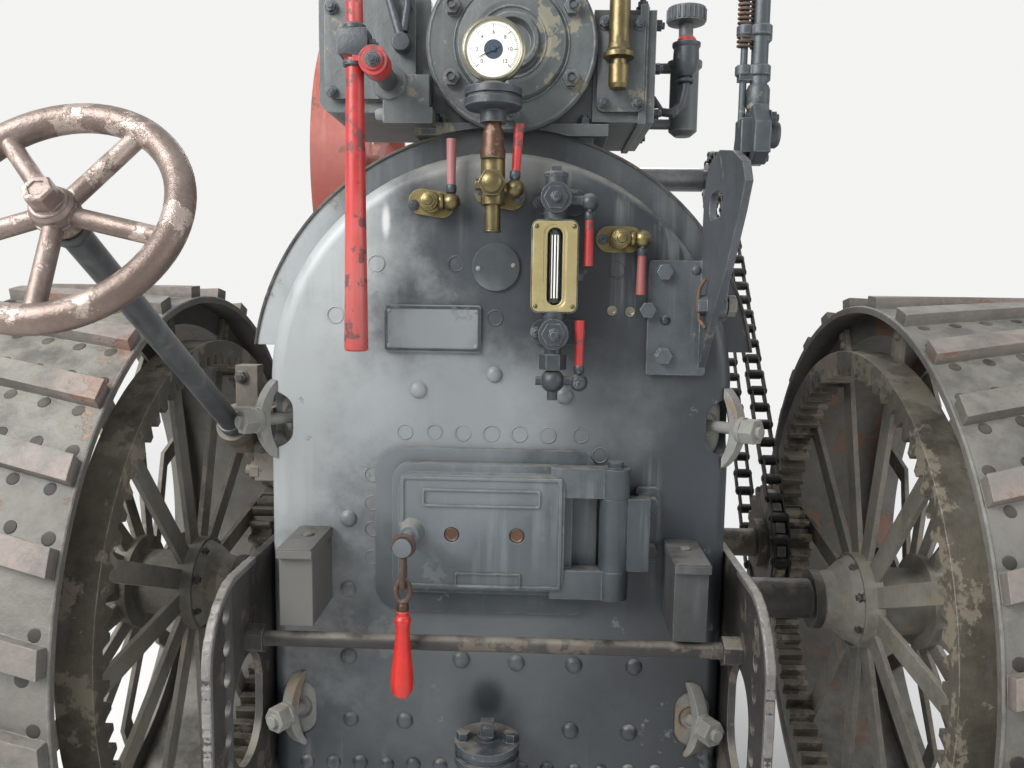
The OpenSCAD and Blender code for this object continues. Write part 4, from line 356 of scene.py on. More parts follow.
finishes = {
    "boilerPaint": {"base": "353b41", "dark": "282d32", "bare": "6a6f70", "patchAmount": 0.24, "streakAmount": 0.5,
                    "streakTone": "797c7b", "rough": 0.42, "bump": 0.22, "edgeAmount": 0.3,
                    "dustAmount": 0.6, "dustTone": "9e9c94",
                    # Pale patches on the left and upper middle are partly patina and partly painted light from the
                    # upper left; the dark ones on the right, at x 300 and 330, are painted shade
                    "tonePatchesAndPaintedLight": [((-470, 0, 1290), (2.6, 0.6, 1.5), 0.62, "acb0b1"),
                               ((-330, 0, 1560), (4.2, 0.6, 4.2), 0.62, "a0a6a7"),
                               ((-60, 0, 1215), (2.4, 0.6, 5.6), 0.75, "8b9092"),
                               ((-60, 0, 1735), (1.9, 0.6, 7.0), 0.65, "94948f"),
                               ((-60, 0, 800), (2.6, 0.6, 3.4), 0.30, "757a7c"),
                               ((300, 0, 1300), (3.4, 0.6, 1.5), 0.55, "1f2327"),
                               ((330, 0, 640), (3.0, 0.6, 3.4), 0.35, "1f2223"),
                               ((-14, 0, 672), (24.0, 0.6, 20.0), 0.85, "202427"),
                               ((-208, 0, 1573), (95.0, 0.6, 26.0), 0.9, "c3c6c6")]},
    "plateIron": {"base": "373e42", "dark": "2a2f33", "bare": "6f7376", "patchAmount": 0.22, "rough": 0.42, "bump": 0.3,
                  "edge": "82878a", "edgeRadius": 0.002,
                  "tonePatchesAndPaintedLight": [((-122, 0, 1381), (6.0, 0.6, 9.0), 0.9, "7c8184")]},
    "laggingPaint": {"base": "454a4d", "dark": "33373a", "bare": "6b665d", "patchAmount": 0.22, "rough": 0.5,
                     "dustAmount": 0.7,
                     # The pale patches on the left are painted light from the upper left
                     "tonePatchesAndPaintedLight": [((-450, 0, 1330), (4.0, 4.0, 2.4), 0.80, "a3a7a8"),
                                ((-390, 0, 1500), (5.0, 4.0, 5.0), 0.65, "94999b")]},
    "cylinderPaint": {"base": "555a5b", "dark": "3e4345", "bare": "85806f", "patchAmount": 0.3, "rough": 0.46,
                      "bump": 0.45,
                      "coarse": 60.0, "edge": "a2a5a4", "edgeAmount": 0.65, "dustAmount": 0.6},
    "smokeBlack": {"base": "2a2b2c", "dark": "1d1e1f", "bare": "5e4a3c", "patchAmount": 0.34, "rough": 0.66,
                   "bump": 0.35},
    "doorIron": {"base": "2e363b", "dark": "22272c", "bare": "666a6d", "patchAmount": 0.26, "rough": 0.40, "bump": 0.45,
                 "coarse": 60.0, "edgeAmount": 0.65, "edge": "82878a", "streakAmount": 0.35,
                 "tonePatchesAndPaintedLight": [((-130, 0, 1120), (3.2, 0.6, 6.0), 0.60, "7a8083"),
                            ((-60, 0, 1010), (2.8, 0.6, 4.4), 0.35, "636a6f")]},
    "leverSteel": {"base": "565b61", "dark": "3f4549", "bare": "807d73", "patchAmount": 0.3, "rough": 0.46, "bump": 0.35,
                   "coarse": 60.0, "metal": 0.4, "edge": "a4a6a7", "edgeAmount": 0.6},
    "frameSteel": {"base": "403e3b", "dark": "2a2827", "bare": "5e564d", "patchAmount": 0.40, "rough": 0.55, "bump": 0.5,
                   "coarse": 55.0, "metal": 0.2, "edgeAmount": 0.7, "edge": "84817d"},
    "cutSteel": {"base": "7e7c7a", "dark": "5a5756", "bare": "71675d", "patchScale": 26.0, "patchAmount": 0.30,
                 "rough": 0.5,
                 "bump": 0.8, "coarse": 90.0, "metal": 0.35, "edge": "aba9a5", "edgeRadius": 0.002, "streakAmount": 0.0},
    "columnIron": {"base": "676157", "dark": "4a453d", "bare": "574b3e", "patchAmount": 0.34, "rough": 0.6, "bump": 0.6,
                   "coarse": 70.0, "edge": "88837a"},
    "padIron": {"base": "3f4041", "dark": "2e3031", "bare": "48423a", "patchAmount": 0.3, "rough": 0.55, "bump": 0.4,
                "coarse": 60.0, "edge": "6c6c6c", "dustAmount": 0.8, "dustTone": "666460",
                "tonePatchesAndPaintedLight": [((-341, -75, 940), (2.2, 2.2, 2.6), 0.85, "5c5b58")]},
    "sunkRivet": {"base": "35332f", "dark": "211f1d", "bare": "504a42", "patchAmount": 0.3, "rough": 0.7, "bump": 0.3,
                  "edgeAmount": 0.0, "streakAmount": 0.0, "dustAmount": 0.25},
    "dogIron": {"base": "83837f", "dark": "646461", "bare": "7b6a56", "patchAmount": 0.38, "rough": 0.6, "bump": 0.6,
                "coarse": 70.0, "edge": "b4b4ad"},
    "hubGrease": {"base": "47443e", "dark": "2b2925", "bare": "5b5446", "patchAmount": 0.36, "rough": 0.44, "bump": 0.5,
                  "coarse": 60.0, "metal": 0.2},
    "gearIron": {"base": "696358", "dark": "434038", "bare": "8e8575", "patchAmount": 0.46, "rough": 0.55, "bump": 0.6,
                 "coarse": 75.0, "edge": "a39c8e", "edgeAmount": 0.75, "metal": 0.3},
    "treadSteel": {"strakeTone": "857771", "base": "6e6c67", "dark": "55534e", "bare": "856454", "patchScale": 5.0,
                   "patchAmount": 0.34, "rough": 0.6,
                   "bump": 1.0, "coarse": 60.0, "fine": 300.0, "edge": "a5a39c", "dustAmount": 0.5, "dustTone": "9b988f",
                   "metal": 0.15},
    "spokeSteel": {"base": "86837a", "dark": "5e5b53", "bare": "938979", "patchAmount": 0.4, "rough": 0.58, "bump": 0.5,
                   "coarse": 70.0, "edge": "a6a398"},
    "brightSteel": {"base": "77777a", "dark": "58585b", "bare": "4a4640", "patchAmount": 0.3, "metal": 0.85,
                    "bareMetal": 0.6,
                    "rough": 0.34, "bareRough": 0.5, "bump": 0.15, "streakAmount": 0.0},
    "paleBrass": {"base": "b9ab7c", "dark": "93875f", "bare": "8a8264", "patchScale": 22.0, "patchAmount": 0.25,
                  "metal": 0.45,
                  "bareMetal": 0.4, "rough": 0.38, "bump": 0.2, "coarse": 90.0, "edge": "e2d8ad", "edgeRadius": 0.002,
                  "streakAmount": 0.0, "dustAmount": 0.2},
    "dullBrass": {"base": "8a7c55", "dark": "5f563f", "bare": "575544", "patchScale": 22.0, "patchAmount": 0.36,
                  "metal": 0.85, "bareMetal": 0.5, "rough": 0.36, "bareRough": 0.6, "bump": 0.3, "coarse": 90.0,
                  "edge": "bfb27e", "edgeRadius": 0.002, "streakAmount": 0.0, "dustAmount": 0.3},
    "fittingsIron": {"base": "3a4047", "dark": "262b30", "bare": "6b6a62", "patchScale": 20.0, "patchAmount": 0.28,
                     "rough": 0.42, "bump": 0.4, "coarse": 80.0, "edgeAmount": 0.7, "edge": "8f969a", "edgeRadius": 0.002,
                     "streakAmount": 0.0},
    "signalRed": {"base": "b0302e", "dark": "8f2525", "bare": "4f4343", "patchScale": 34.0, "patchAmount": 0.40,
                  "tonePatchesAndPaintedLight": [((-86, 0, 1660), (13.0, 0.6, 9.0), 0.75, "7c5b5a"),
                             ((252, 0, 1500), (13.0, 0.6, 9.0), 0.75, "765350"),
                             ((-240, 0, 1440), (8.0, 0.6, 6.0), 0.5, "b0605c")],
                  "rough": 0.38, "bareRough": 0.55, "bump": 0.2, "edge": "6d6460", "edgeAmount": 0.9, "edgeRadius": 0.002,
                  "streakAmount": 0.4, "streakTone": "d9aaa5", "dustAmount": 0.3},
    "gripRed": {"base": "c4281f", "dark": "a81f19", "bare": "5a4443", "patchScale": 22.0, "patchAmount": 0.22,
                "rough": 0.36,
                "bareRough": 0.5, "bump": 0.3, "coarse": 90.0, "edge": "e2a49c", "edgeAmount": 0.5, "edgeRadius": 0.002,
                "streakAmount": 0.2, "streakTone": "e3b3ac", "dustAmount": 0.2},
    "fadedRed": {"base": "a8584c", "dark": "8c463d", "bare": "6b5147", "patchAmount": 0.3, "rough": 0.55, "bump": 0.3,
                 "streakAmount": 0.3, "streakTone": "b98377"},
    "wheelBronze": {"base": "968781", "dark": "6a5c55", "bare": "b2a39a", "patchScale": 12.0, "patchAmount": 0.46,
                    "metal": 0.55, "bareMetal": 0.6, "rough": 0.40, "bareRough": 0.36, "bump": 0.6, "coarse": 80.0,
                    "edge": "b1a59e", "streakAmount": 0.0, "dustAmount": 0.2},
    "paleBezel": {"base": "979384", "dark": "75715f", "bare": "6f6a5f", "patchScale": 24.0, "patchAmount": 0.22,
                  "metal": 0.85, "rough": 0.3, "bump": 0.12, "edge": "dedcd5", "edgeRadius": 0.0015, "streakAmount": 0.0},
    "copperBrown": {"base": "6a4f40", "dark": "49372d", "bare": "857064", "patchScale": 20.0, "patchAmount": 0.3,
                    "metal": 0.7, "rough": 0.45, "bump": 0.25, "streakAmount": 0.0, "edgeRadius": 0.002},
    "rustIron": {"base": "5c4638", "dark": "3d3029", "bare": "7a5a45", "patchScale": 30.0, "patchAmount": 0.4,
                 "rough": 0.72, "bump": 0.6, "coarse": 90.0, "edge": "8a7767", "edgeRadius": 0.0015, "streakAmount": 0.0},
    "blackRod": {"base": "494c4e", "dark": "333638", "bare": "68625a", "patchAmount": 0.2, "rough": 0.36, "bump": 0.2,
                 "edge": "8e9195", "edgeRadius": 0.002},
    "dialWhite": {"base": "e9e8e2", "dark": "dedcd3", "bare": "cfcbbd", "patchAmount": 0.06, "rough": 0.35, "bump": 0.0,
                  "edgeAmount": 0.0, "streakAmount": 0.0, "dustAmount": 0.0},
    "dialInk": {"base": "2a2a2d", "dark": "222225", "bare": "3a3a3d", "patchAmount": 0.0, "rough": 0.5, "bump": 0.0,
                "edgeAmount": 0.0, "streakAmount": 0.0, "dustAmount": 0.0},
    "dialBlue": {"base": "30404f", "dark": "2a3744", "bare": "40505f", "patchAmount": 0.0, "rough": 0.4, "bump": 0.0,
                 "edgeAmount": 0.0, "streakAmount": 0.0, "dustAmount": 0.0},
    "waterWhite": {"base": "f0f1ee", "dark": "e2e4e0", "bare": "c9ccc8", "patchAmount": 0.05, "rough": 0.3, "bump": 0.0,
                   "edgeAmount": 0.0, "streakAmount": 0.0, "dustAmount": 0.0},
    "chainIron": {"base": "2b2b2b", "dark": "1b1b1b", "bare": "56514a", "patchScale": 26.0, "patchAmount": 0.3,
                  "metal": 0.4, "rough": 0.46, "bump": 0.4, "coarse": 90.0, "edge": "7a7670", "edgeRadius": 0.0015,
                  "streakAmount": 0.0},
}


def addGroup(tree, name, vector, **values):
    node = tree.nodes.new("ShaderNodeGroup")
    node.node_tree = groups[name]
    tree.links.new(vector, node.inputs["Vector"])
    for label, value in values.items():
        node.inputs[label].default_value = value
    return node


def mixColours(tree, mask, below, above):
    node = tree.nodes.new("ShaderNodeMix")
    node.data_type = "RGBA"
    tree.links.new(mask, node.inputs["Factor"])
    for socket, value in ((node.inputs[6], below), (node.inputs[7], above)):
        setInput(tree, socket, tone(value) if isinstance(value, str) else value)
    return node.outputs[2]


def changing(tree, mask, low, high, socket):
    node = addNode(tree, "ShaderNodeMapRange", Value=mask, To_Min=low, To_Max=high)
    tree.links.new(node.outputs["Result"], socket)


def makeFinish(name):
    spec = {**plainFinish, **finishes[name]}
    material = bpy.data.materials.new(name)
    material.use_nodes = True
    tree = material.node_tree
    shader = tree.nodes["Principled BSDF"]
    vector = tree.nodes.new("ShaderNodeTexCoord").outputs["Object"]
    colour = mixColours(tree, addGroup(tree, "mottle", vector, Scale=spec["mottleScale"]).outputs["Mask"],
                        spec["dark"], spec["base"])
    # Each entry lightens or darkens the colour round one place; on the boiler and the lagging some of these are painted
    # light and painted shade
    for middle, stretch, amount, spotTone in spec["tonePatchesAndPaintedLight"]:
        toneAndLightSpot = addGroup(tree, "toneAndLightSpot", vector, Middle=spot(*middle), Stretch=stretch, Amount=amount)
        colour = mixColours(tree, toneAndLightSpot.outputs["Mask"], colour, spotTone)
    if "strakeTone" in spec:
        strake = addGroup(tree, "beyond", vector, Middle=spot(0, rear["y"], rear["z"]), Radius=(rear["radius"] + 4) / 1000)
        clouds = addGroup(tree, "mottle", vector, Scale=5.0)
        rusty = addMath(tree, "MULTIPLY", strake.outputs["Mask"], clouds.outputs["Mask"])
        colour = mixColours(tree, rusty, colour, spec["strakeTone"])
    if spec["streakAmount"]:
        streak = addGroup(tree, "streaks", vector, Amount=spec["streakAmount"])
        colour = mixColours(tree, streak.outputs["Mask"], colour, spec["streakTone"])
    bare = addGroup(tree, "patches", vector, Scale=spec["patchScale"], Amount=spec["patchAmount"]).outputs["Mask"]
    colour = mixColours(tree, addMath(tree, "MULTIPLY", bare, 0.75), colour, spec["bare"])
    normal = None
    if spec["edgeAmount"]:
        worn = addGroup(tree, "wornEdges", vector, Radius=spec["edgeRadius"], Amount=spec["edgeAmount"])
        colour = mixColours(tree, worn.outputs["Mask"], colour, spec["edge"])
        normal = worn.outputs["Normal"]
    if spec["dustAmount"]:
        dusty = addGroup(tree, "dust", vector, Amount=spec["dustAmount"]).outputs["Mask"]
        colour = mixColours(tree, dusty, colour, spec["dustTone"])
    tree.links.new(colour, shader.inputs["Base Color"])
    changing(tree, bare, spec["rough"], spec["bareRough"], shader.inputs["Roughness"])
    changing(tree, bare, spec["metal"], spec["bareMetal"], shader.inputs["Metallic"])
    if spec["bump"]:
        grain = addGroup(tree, "grain", vector, Fine=spec["fine"], Coarse=spec["coarse"])
        height = addMath(tree, "SUBTRACT", grain.outputs["Height"], addMath(tree, "MULTIPLY", bare, 0.4))
        bump = addNode(tree, "ShaderNodeBump", Strength=spec["bump"], Distance=0.002, Height=height)
        if normal:
            tree.links.new(normal, bump.inputs["Normal"])
        normal = bump.outputs["Normal"]
    if normal:
        tree.links.new(normal, shader.inputs["Normal"])
    return material


def makeGlass():
    material = bpy.data.materials.new("gaugeGlass")
    material.use_nodes = True
    tree = material.node_tree
    shader = tree.nodes["Principled BSDF"]
    vector = tree.nodes.new("ShaderNodeTexCoord").outputs["Object"]
    film = addGroup(tree, "mottle", vector, Scale=30.0).outputs["Mask"]
    changing(tree, film, 0.03, 0.10, shader.inputs["Roughness"])
    tree.links.new(mixColours(tree, film, "e6f0ee", "f4f8f7"), shader.inputs["Base Color"])
    shader.inputs["Transmission Weight"].default_value = 1.0
    shader.inputs["IOR"].default_value = 1.47
    return material


materials = {name: makeFinish(name) for name in finishes}
materials["gaugeGlass"] = makeGlass()

nodeFinish = {
    "boilerPaint": ["backhead", "firebox_wrapper", "throat_plate", "boiler_barrel"],
    "doorIron": ["mouthpiece", "fire_door"],
    "plateIron": ["name_plates"],
    "laggingPaint": ["crown_lagging", "barrel_lagging", "crank_brackets", "front_axle"],
    "cylinderPaint": ["cylinder_block", "cylinder_cover", "valve_chests"],
    "smokeBlack": ["inner_firebox", "grate", "foundation_ring", "ashpan", "smokebox", "smokebox_door", "chimney"],
    "frameSteel": ["horn_plate_left", "horn_plate_right", "tie_rod", "steering_chains"],
    "columnIron": ["steering_column"],
    "padIron": ["footplate_brackets"],
    "leverSteel": ["lever_stand", "reversing_lever"],
    "dogIron": ["hand_hole_doors"],
    "fittingsIron": ["water_gauge", "blow_off_flange"],
    "dullBrass": ["brass_cocks"],
    "signalRed": ["cock_levers", "regulator_lever", "door_handle"],
    "fadedRed": ["flywheel", "front_wheels"],
    "gaugeGlass": ["gauge_glass"],
    "paleBezel": ["pressure_gauge"],
    "treadSteel": ["wheel_rim_left", "wheel_rim_right"],
    "spokeSteel": ["wheel_centre_left", "wheel_centre_right"],
    "hubGrease": ["stub_axles"],
    "gearIron": ["ring_gear_left", "ring_gear_right", "pinion_left", "pinion_right", "lower_sprocket"],
    "chainIron": ["drive_chain"],
    "brightSteel": ["crankshaft", "connecting_rod", "motion_guides"],
    "wheelBronze": ["steering_wheel"],
}


def paintNodes():
    for finish, names in nodeFinish.items():
        for name in names:
            node = frame["nodes"][name]
            for slot in node.material_slots:
                slot.material = materials[finish]
            if not node.material_slots:
                node.data.materials.append(materials[finish])


paintNodes()
print("finishes:", len(materials))

# ---- mesh tools ----


def facing(origin, direction):
    turn = Vector(direction).to_track_quat("Z", "Y").to_matrix().to_4x4()
    return Matrix.Translation(spot(*origin)) @ turn


def ringAt(bm, place, radius, height, steps, squash=1.0):
    return [bm.verts.new(place @ Vector((radius * math.cos(a), radius * squash * math.sin(a), height)))
            for a in (i * math.tau / steps for i in range(steps))]


def loft(bm, rings, closed=False):
    for low, high in zip(rings, rings[1:]):
        joinRings(bm, low, high)
    if closed:
        joinRings(bm, rings[-1], rings[0])


def joinRings(bm, low, high):
    steps = max(len(low), len(high))
    for i in range(steps):
        j = (i + 1) % steps
        corners = [low[i % len(low)], low[j % len(low)], high[j % len(high)], high[i % len(high)]]
        unique = []
        for corner in corners:
            if corner not in unique:
                unique.append(corner)
        if len(unique) > 2:
            bm.faces.new(unique)


def turned(bm, profile, origin, direction, steps=40):
    # profile holds (radius, height along direction) in mm and starts and ends on the axis
    place = facing(origin, direction)
    rings = []
    for radius, height in profile:
        if radius < 0.01:
            rings.append([bm.verts.new(place @ Vector((0, 0, height / 1000)))])
        else:
            rings.append(ringAt(bm, place, radius / 1000, height / 1000, steps))
    loft(bm, rings)


def hoop(bm, origin, direction, radius, wire, steps=64, sides=10):
    # A closed ring of round wire about an axis
    place = facing(origin, direction)
    rings = []
    for i in range(steps):
        a = i * math.tau / steps
        rings.append([bm.verts.new(place @ Vector((
            (radius + wire * math.cos(b)) / 1000 * math.cos(a), (radius + wire * math.cos(b)) / 1000 * math.sin(a),
            wire * math.sin(b) / 1000))) for b in (k * math.tau / sides for k in range(sides))])
    loft(bm, rings, closed=True)


def swept(bm, path, radius, sides=12, closed=False):
    # A round bar along a path of places in mm; radius is one value or one for each place
    points = [spot(*p) for p in path]
    radii = radius if isinstance(radius, (list, tuple)) else [radius] * len(points)
    count = len(points)
    rings = []
    side = None
    for i, point in enumerate(points):
        before = points[i - 1] if (i or closed) else point
        after = points[(i + 1) % count] if (i < count - 1 or closed) else point
        along = (after - before).normalized()
        if side is None:
            side = along.orthogonal().normalized()
        side = (side - along * side.dot(along)).normalized()
        other = along.cross(side)
        rings.append([bm.verts.new(point + (side * math.cos(b) + other * math.sin(b)) * radii[i] / 1000)
                      for b in (k * math.tau / sides for k in range(sides))])
    loft(bm, rings, closed)
    if not closed:
        for ring, point in ((rings[0], points[0]), (rings[-1], points[-1])):
            joinRings(bm, [bm.verts.new(point)], ring)


def extruded(bm, outline, axis, low, high, bevel=1.2):
    # A plate from a closed outline in the plane across axis, with softened edges
    place = {"x": lambda u, v, w: spot(w, u, v), "y": lambda u, v, w: spot(u, w, v),
             "z": lambda u, v, w: spot(u, v, w)}[axis]
    lower = [bm.verts.new(place(u, v, low)) for u, v in outline]
    upper = [bm.verts.new(place(u, v, high)) for u, v in outline]
    faces = [bm.faces.new(lower), bm.faces.new(list(reversed(upper)))]
    count = len(outline)
    for i in range(count):
        faces.append(bm.faces.new([lower[i], upper[i], upper[(i + 1) % count], lower[(i + 1) % count]]))
    if bevel:
        edges = {e for f in faces[:2] for e in f.edges}
        bmesh.ops.bevel(bm, geom=list(edges), offset=bevel / 1000, offset_type="OFFSET", segments=2, profile=0.5,
                        affect="EDGES", clamp_overlap=True)


def roundedRect(cx, cz, w, h, r, steps=6):
    points = []
    for sx, sz, a0 in ((1, 1, 0), (-1, 1, 90), (-1, -1, 180), (1, -1, 270)):
        for i in range(steps + 1):
            a = math.radians(a0 + 90 * i / steps)
            points.append((cx + sx * (w / 2 - r) + r * math.cos(a), cz + sz * (h / 2 - r) + r * math.sin(a)))
    return points


def finishPiece(name, bm, finish, body="engine", angle=38):
    bmesh.ops.remove_doubles(bm, verts=bm.verts, dist=1e-6)
    bmesh.ops.recalc_face_normals(bm, faces=bm.faces)
    mesh = bpy.data.meshes.new(name)
    bm.to_mesh(mesh)
    bm.free()
    for face in mesh.polygons:
        face.use_smooth = True
    mesh.set_sharp_from_angle(angle=math.radians(angle))
    piece = bpy.data.objects.new(name, mesh)
    scene.collection.objects.link(piece)
    mesh.materials.append(materials[finish])
    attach(piece, body)
    return piece


# ---- geometry node trees for what repeats ----


def nodeTree(name, inputs):
    tree = bpy.data.node_groups.new(name, "GeometryNodeTree")
    tree.interface.new_socket("Geometry", in_out="INPUT", socket_type="NodeSocketGeometry")
    for label, kind, value in inputs:
        socket = tree.interface.new_socket(label, in_out="INPUT", socket_type=kind)
        if value is not None:
            socket.default_value = value
    tree.interface.new_socket("Geometry", in_out="OUTPUT", socket_type="NodeSocketGeometry")
    return tree, tree.nodes.new("NodeGroupInput"), tree.nodes.new("NodeGroupOutput")


def placeOnPoints(tree, start, end, shape, loose=True):
    # Stands a copy of shape on every point, turned by its "facing", and when loose a little out of true
    link = tree.links.new
    normal = addNode(tree, "GeometryNodeInputNamedAttribute", {"data_type": "FLOAT_VECTOR"}, Name="facing")
    align = addNode(tree, "FunctionNodeAlignRotationToVector", {"axis": "Z"}, Vector=normal.outputs[0])
    stand = addNode(tree, "GeometryNodeInstanceOnPoints", Points=start.outputs["Geometry"], Instance=shape)
    turn = align
    if loose:
        wobble = addNode(tree, "FunctionNodeRandomValue", {"data_type": "FLOAT_VECTOR"}, Min=(-0.05, -0.05, -3.1),
                         Max=(0.05, 0.05, 3.1), Seed=start.outputs["Seed"])
        turn = addNode(tree, "FunctionNodeRotateRotation", {"rotation_space": "LOCAL"}, Rotation=align.outputs[0],
                       Rotate_By=wobble.outputs[0])
        size = addNode(tree, "FunctionNodeRandomValue", {"data_type": "FLOAT"}, Seed=start.outputs["Seed"])
        size.inputs[2].default_value = 0.93
        size.inputs[3].default_value = 1.05
        link(size.outputs[1], stand.inputs["Scale"])
    link(turn.outputs[0], stand.inputs["Rotation"])
    real = tree.nodes.new("GeometryNodeRealizeInstances")
    link(stand.outputs[0], real.inputs[0])
    paint = addNode(tree, "GeometryNodeSetMaterial", Geometry=real.outputs[0], Material=start.outputs["Material"])
    link(paint.outputs[0], end.inputs[0])


def scaled(tree, geometry, x, y, z):
    joined = tree.nodes.new("ShaderNodeCombineXYZ")
    for index, value in enumerate((x, y, z)):
        tree.links.new(value, joined.inputs[index])
    return addNode(tree, "GeometryNodeTransform", Geometry=geometry, Scale=joined.outputs[0]).outputs[0]


def makeHeadTree():
    # Snap heads of rivets and stays: a flattened ball sunk to its middle
    tree, start, end = nodeTree("rivetHeads", [
        ("Radius", "NodeSocketFloat", 0.016), ("Height", "NodeSocketFloat", 0.010), ("Seed", "NodeSocketInt", 3),
        ("Material", "NodeSocketMaterial", None)])
    ball = addNode(tree, "GeometryNodeMeshUVSphere", Segments=14, Rings=8, Radius=1.0)
    head = scaled(tree, ball.outputs[0], start.outputs["Radius"], start.outputs["Radius"], start.outputs["Height"])
    smooth = tree.nodes.new("GeometryNodeSetShadeSmooth")
    tree.links.new(head, smooth.inputs[0])
    placeOnPoints(tree, start, end, smooth.outputs[0])
    return tree


def makeRingTree():
    # The faint raised ring round the flat end of a flush stay
    tree, start, end = nodeTree("flushRings", [
        ("Radius", "NodeSocketFloat", 0.014), ("Height", "NodeSocketFloat", 0.0016), ("Seed", "NodeSocketInt", 5),
        ("Material", "NodeSocketMaterial", None)])
    circle = addNode(tree, "GeometryNodeCurvePrimitiveCircle", Resolution=24, Radius=start.outputs["Radius"])
    wire = addNode(tree, "GeometryNodeCurvePrimitiveCircle", Resolution=6, Radius=start.outputs["Height"])
    ring = addNode(tree, "GeometryNodeCurveToMesh", Curve=circle.outputs[0], Profile_Curve=wire.outputs[0])
    placeOnPoints(tree, start, end, ring.outputs[0])
    return tree


def makeBoltTree():
    # A hexagon head with a washer below and the end of its stud above
    tree, start, end = nodeTree("hexBolts", [
        ("Radius", "NodeSocketFloat", 0.014), ("Height", "NodeSocketFloat", 0.012), ("Seed", "NodeSocketInt", 9),
        ("Material", "NodeSocketMaterial", None)])
    join = tree.nodes.new("GeometryNodeJoinGeometry")
    for sides, wide, low, high in ((6, 1.0, 0.0, 1.0), (20, 1.22, 0.0, 0.16), (14, 0.55, 0.9, 1.45)):
        can = addNode(tree, "GeometryNodeMeshCylinder", Vertices=sides, Radius=wide, Depth=high - low)
        lift = addNode(tree, "GeometryNodeTransform", Translation=(0, 0, (low + high) / 2), Geometry=can.outputs[0])
        tree.links.new(lift.outputs[0], join.inputs[0])
    bolt = scaled(tree, join.outputs[0], start.outputs["Radius"], start.outputs["Radius"], start.outputs["Height"])
    placeOnPoints(tree, start, end, bolt)
    return tree


def makeCoilTree():
    # A wire wound along z: threads of a rod or a spring
    tree, start, end = nodeTree("windings", [
        ("Radius", "NodeSocketFloat", 0.013), ("Wire", "NodeSocketFloat", 0.0012), ("Turns", "NodeSocketFloat", 12.0),
        ("Length", "NodeSocketFloat", 0.04), ("Seed", "NodeSocketInt", 1), ("Material", "NodeSocketMaterial", None)])
    radius = start.outputs["Radius"]
    spiral = addNode(tree, "GeometryNodeCurveSpiral", Resolution=16, Rotations=start.outputs["Turns"],
                     Start_Radius=radius, End_Radius=radius, Height=start.outputs["Length"])
    wire = addNode(tree, "GeometryNodeCurvePrimitiveCircle", Resolution=6, Radius=start.outputs["Wire"])
    tube = addNode(tree, "GeometryNodeCurveToMesh", Fill_Caps=True, Curve=spiral.outputs[0],
                   Profile_Curve=wire.outputs[0])
    placeOnPoints(tree, start, end, tube.outputs[0], loose=False)
    return tree


trees = {"heads": makeHeadTree(), "rings": makeRingTree(), "bolts": makeBoltTree(), "coils": makeCoilTree()}


def repeated(name, tree, places, finish, body="engine", slot="frame_steel", **values):
    # places holds (x, y, z, direction); the values go to the tree's named inputs
    mesh = bpy.data.meshes.new(name + "Points")
    mesh.from_pydata([spot(*p[:3]) for p in places], [], [])
    turn = mesh.attributes.new("facing", "FLOAT_VECTOR", "POINT")
    for index, p in enumerate(places):
        turn.data[index].vector = Vector(p[3]).normalized()
    points = bpy.data.objects.new(name + "Points", mesh)
    scene.collection.objects.link(points)
    modifier = points.modifiers.new("repeat", "NODES")
    modifier.node_group = trees[tree]
    given = {**values, "Material": materials[finish]}
    for item in trees[tree].interface.items_tree:
        if item.item_type == "SOCKET" and item.in_out == "INPUT" and item.name in given:
            modifier[item.identifier] = given[item.name]
    points.update_tag()
    graph = bpy.context.evaluated_depsgraph_get()
    plain = bpy.data.meshes.new_from_object(points.evaluated_get(graph))
    plain.name = name
    points.modifiers.remove(modifier)
    bpy.data.objects.remove(points)
    piece = bpy.data.objects.new(name, plain)
    scene.collection.objects.link(piece)
    if not plain.materials:
        plain.materials.append(materials[finish])
    if tree == "coils":
        for face in plain.polygons:
            face.use_smooth = True
    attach(piece, body)


print("geometry node trees:", len(trees))

# ---- boiler: stays, rivets, rings and bands ----

back = (0, -1, 0)
boiler = {
    "axis": 1270, "flange": 430, "side": 416, "smokebox": 358, "flangeRow": 48, "flangePitch": 62, "holeHeight": 1205,
    "stays": [(-280, 1019), (-281, 881), (-281, 748), (-64, 747), (41, 744), (151, 743), (265, 743), (-278, 621),
              (-173, 621), (147, 611), (259, 611), (-148, 1266), (-8, 1297), (122, 1260)],
    "stayRadius": 16.5, "stayHeight": 10.5,
    "flush": [(-226, 1497), (-80, 1498), (-302, 1402), (-8, 1401), (211, 1490), (-173, 1187), (-118, 1188), (-65, 1187),
              (-12, 1187), (40, 1187), (93, 1186), (154, 1187), (190, 1150), (-235, 1105), (-235, 1050), (-235, 1000),
              (-235, 945)],
    "bottomRow": 532, "bottomPitch": 52, "bottomCount": 8,
    "barrelBands": (822, 1190, 1560, 1930, 2270), "barrelBand": (356, 361), "crownBands": (92, 430, 770),
    "crownBand": (480, 485), "crownFoot": 70 / 482,
}
blankPlate = {"x": -122, "z": 1380, "wide": 176, "tall": 82, "border": 5}


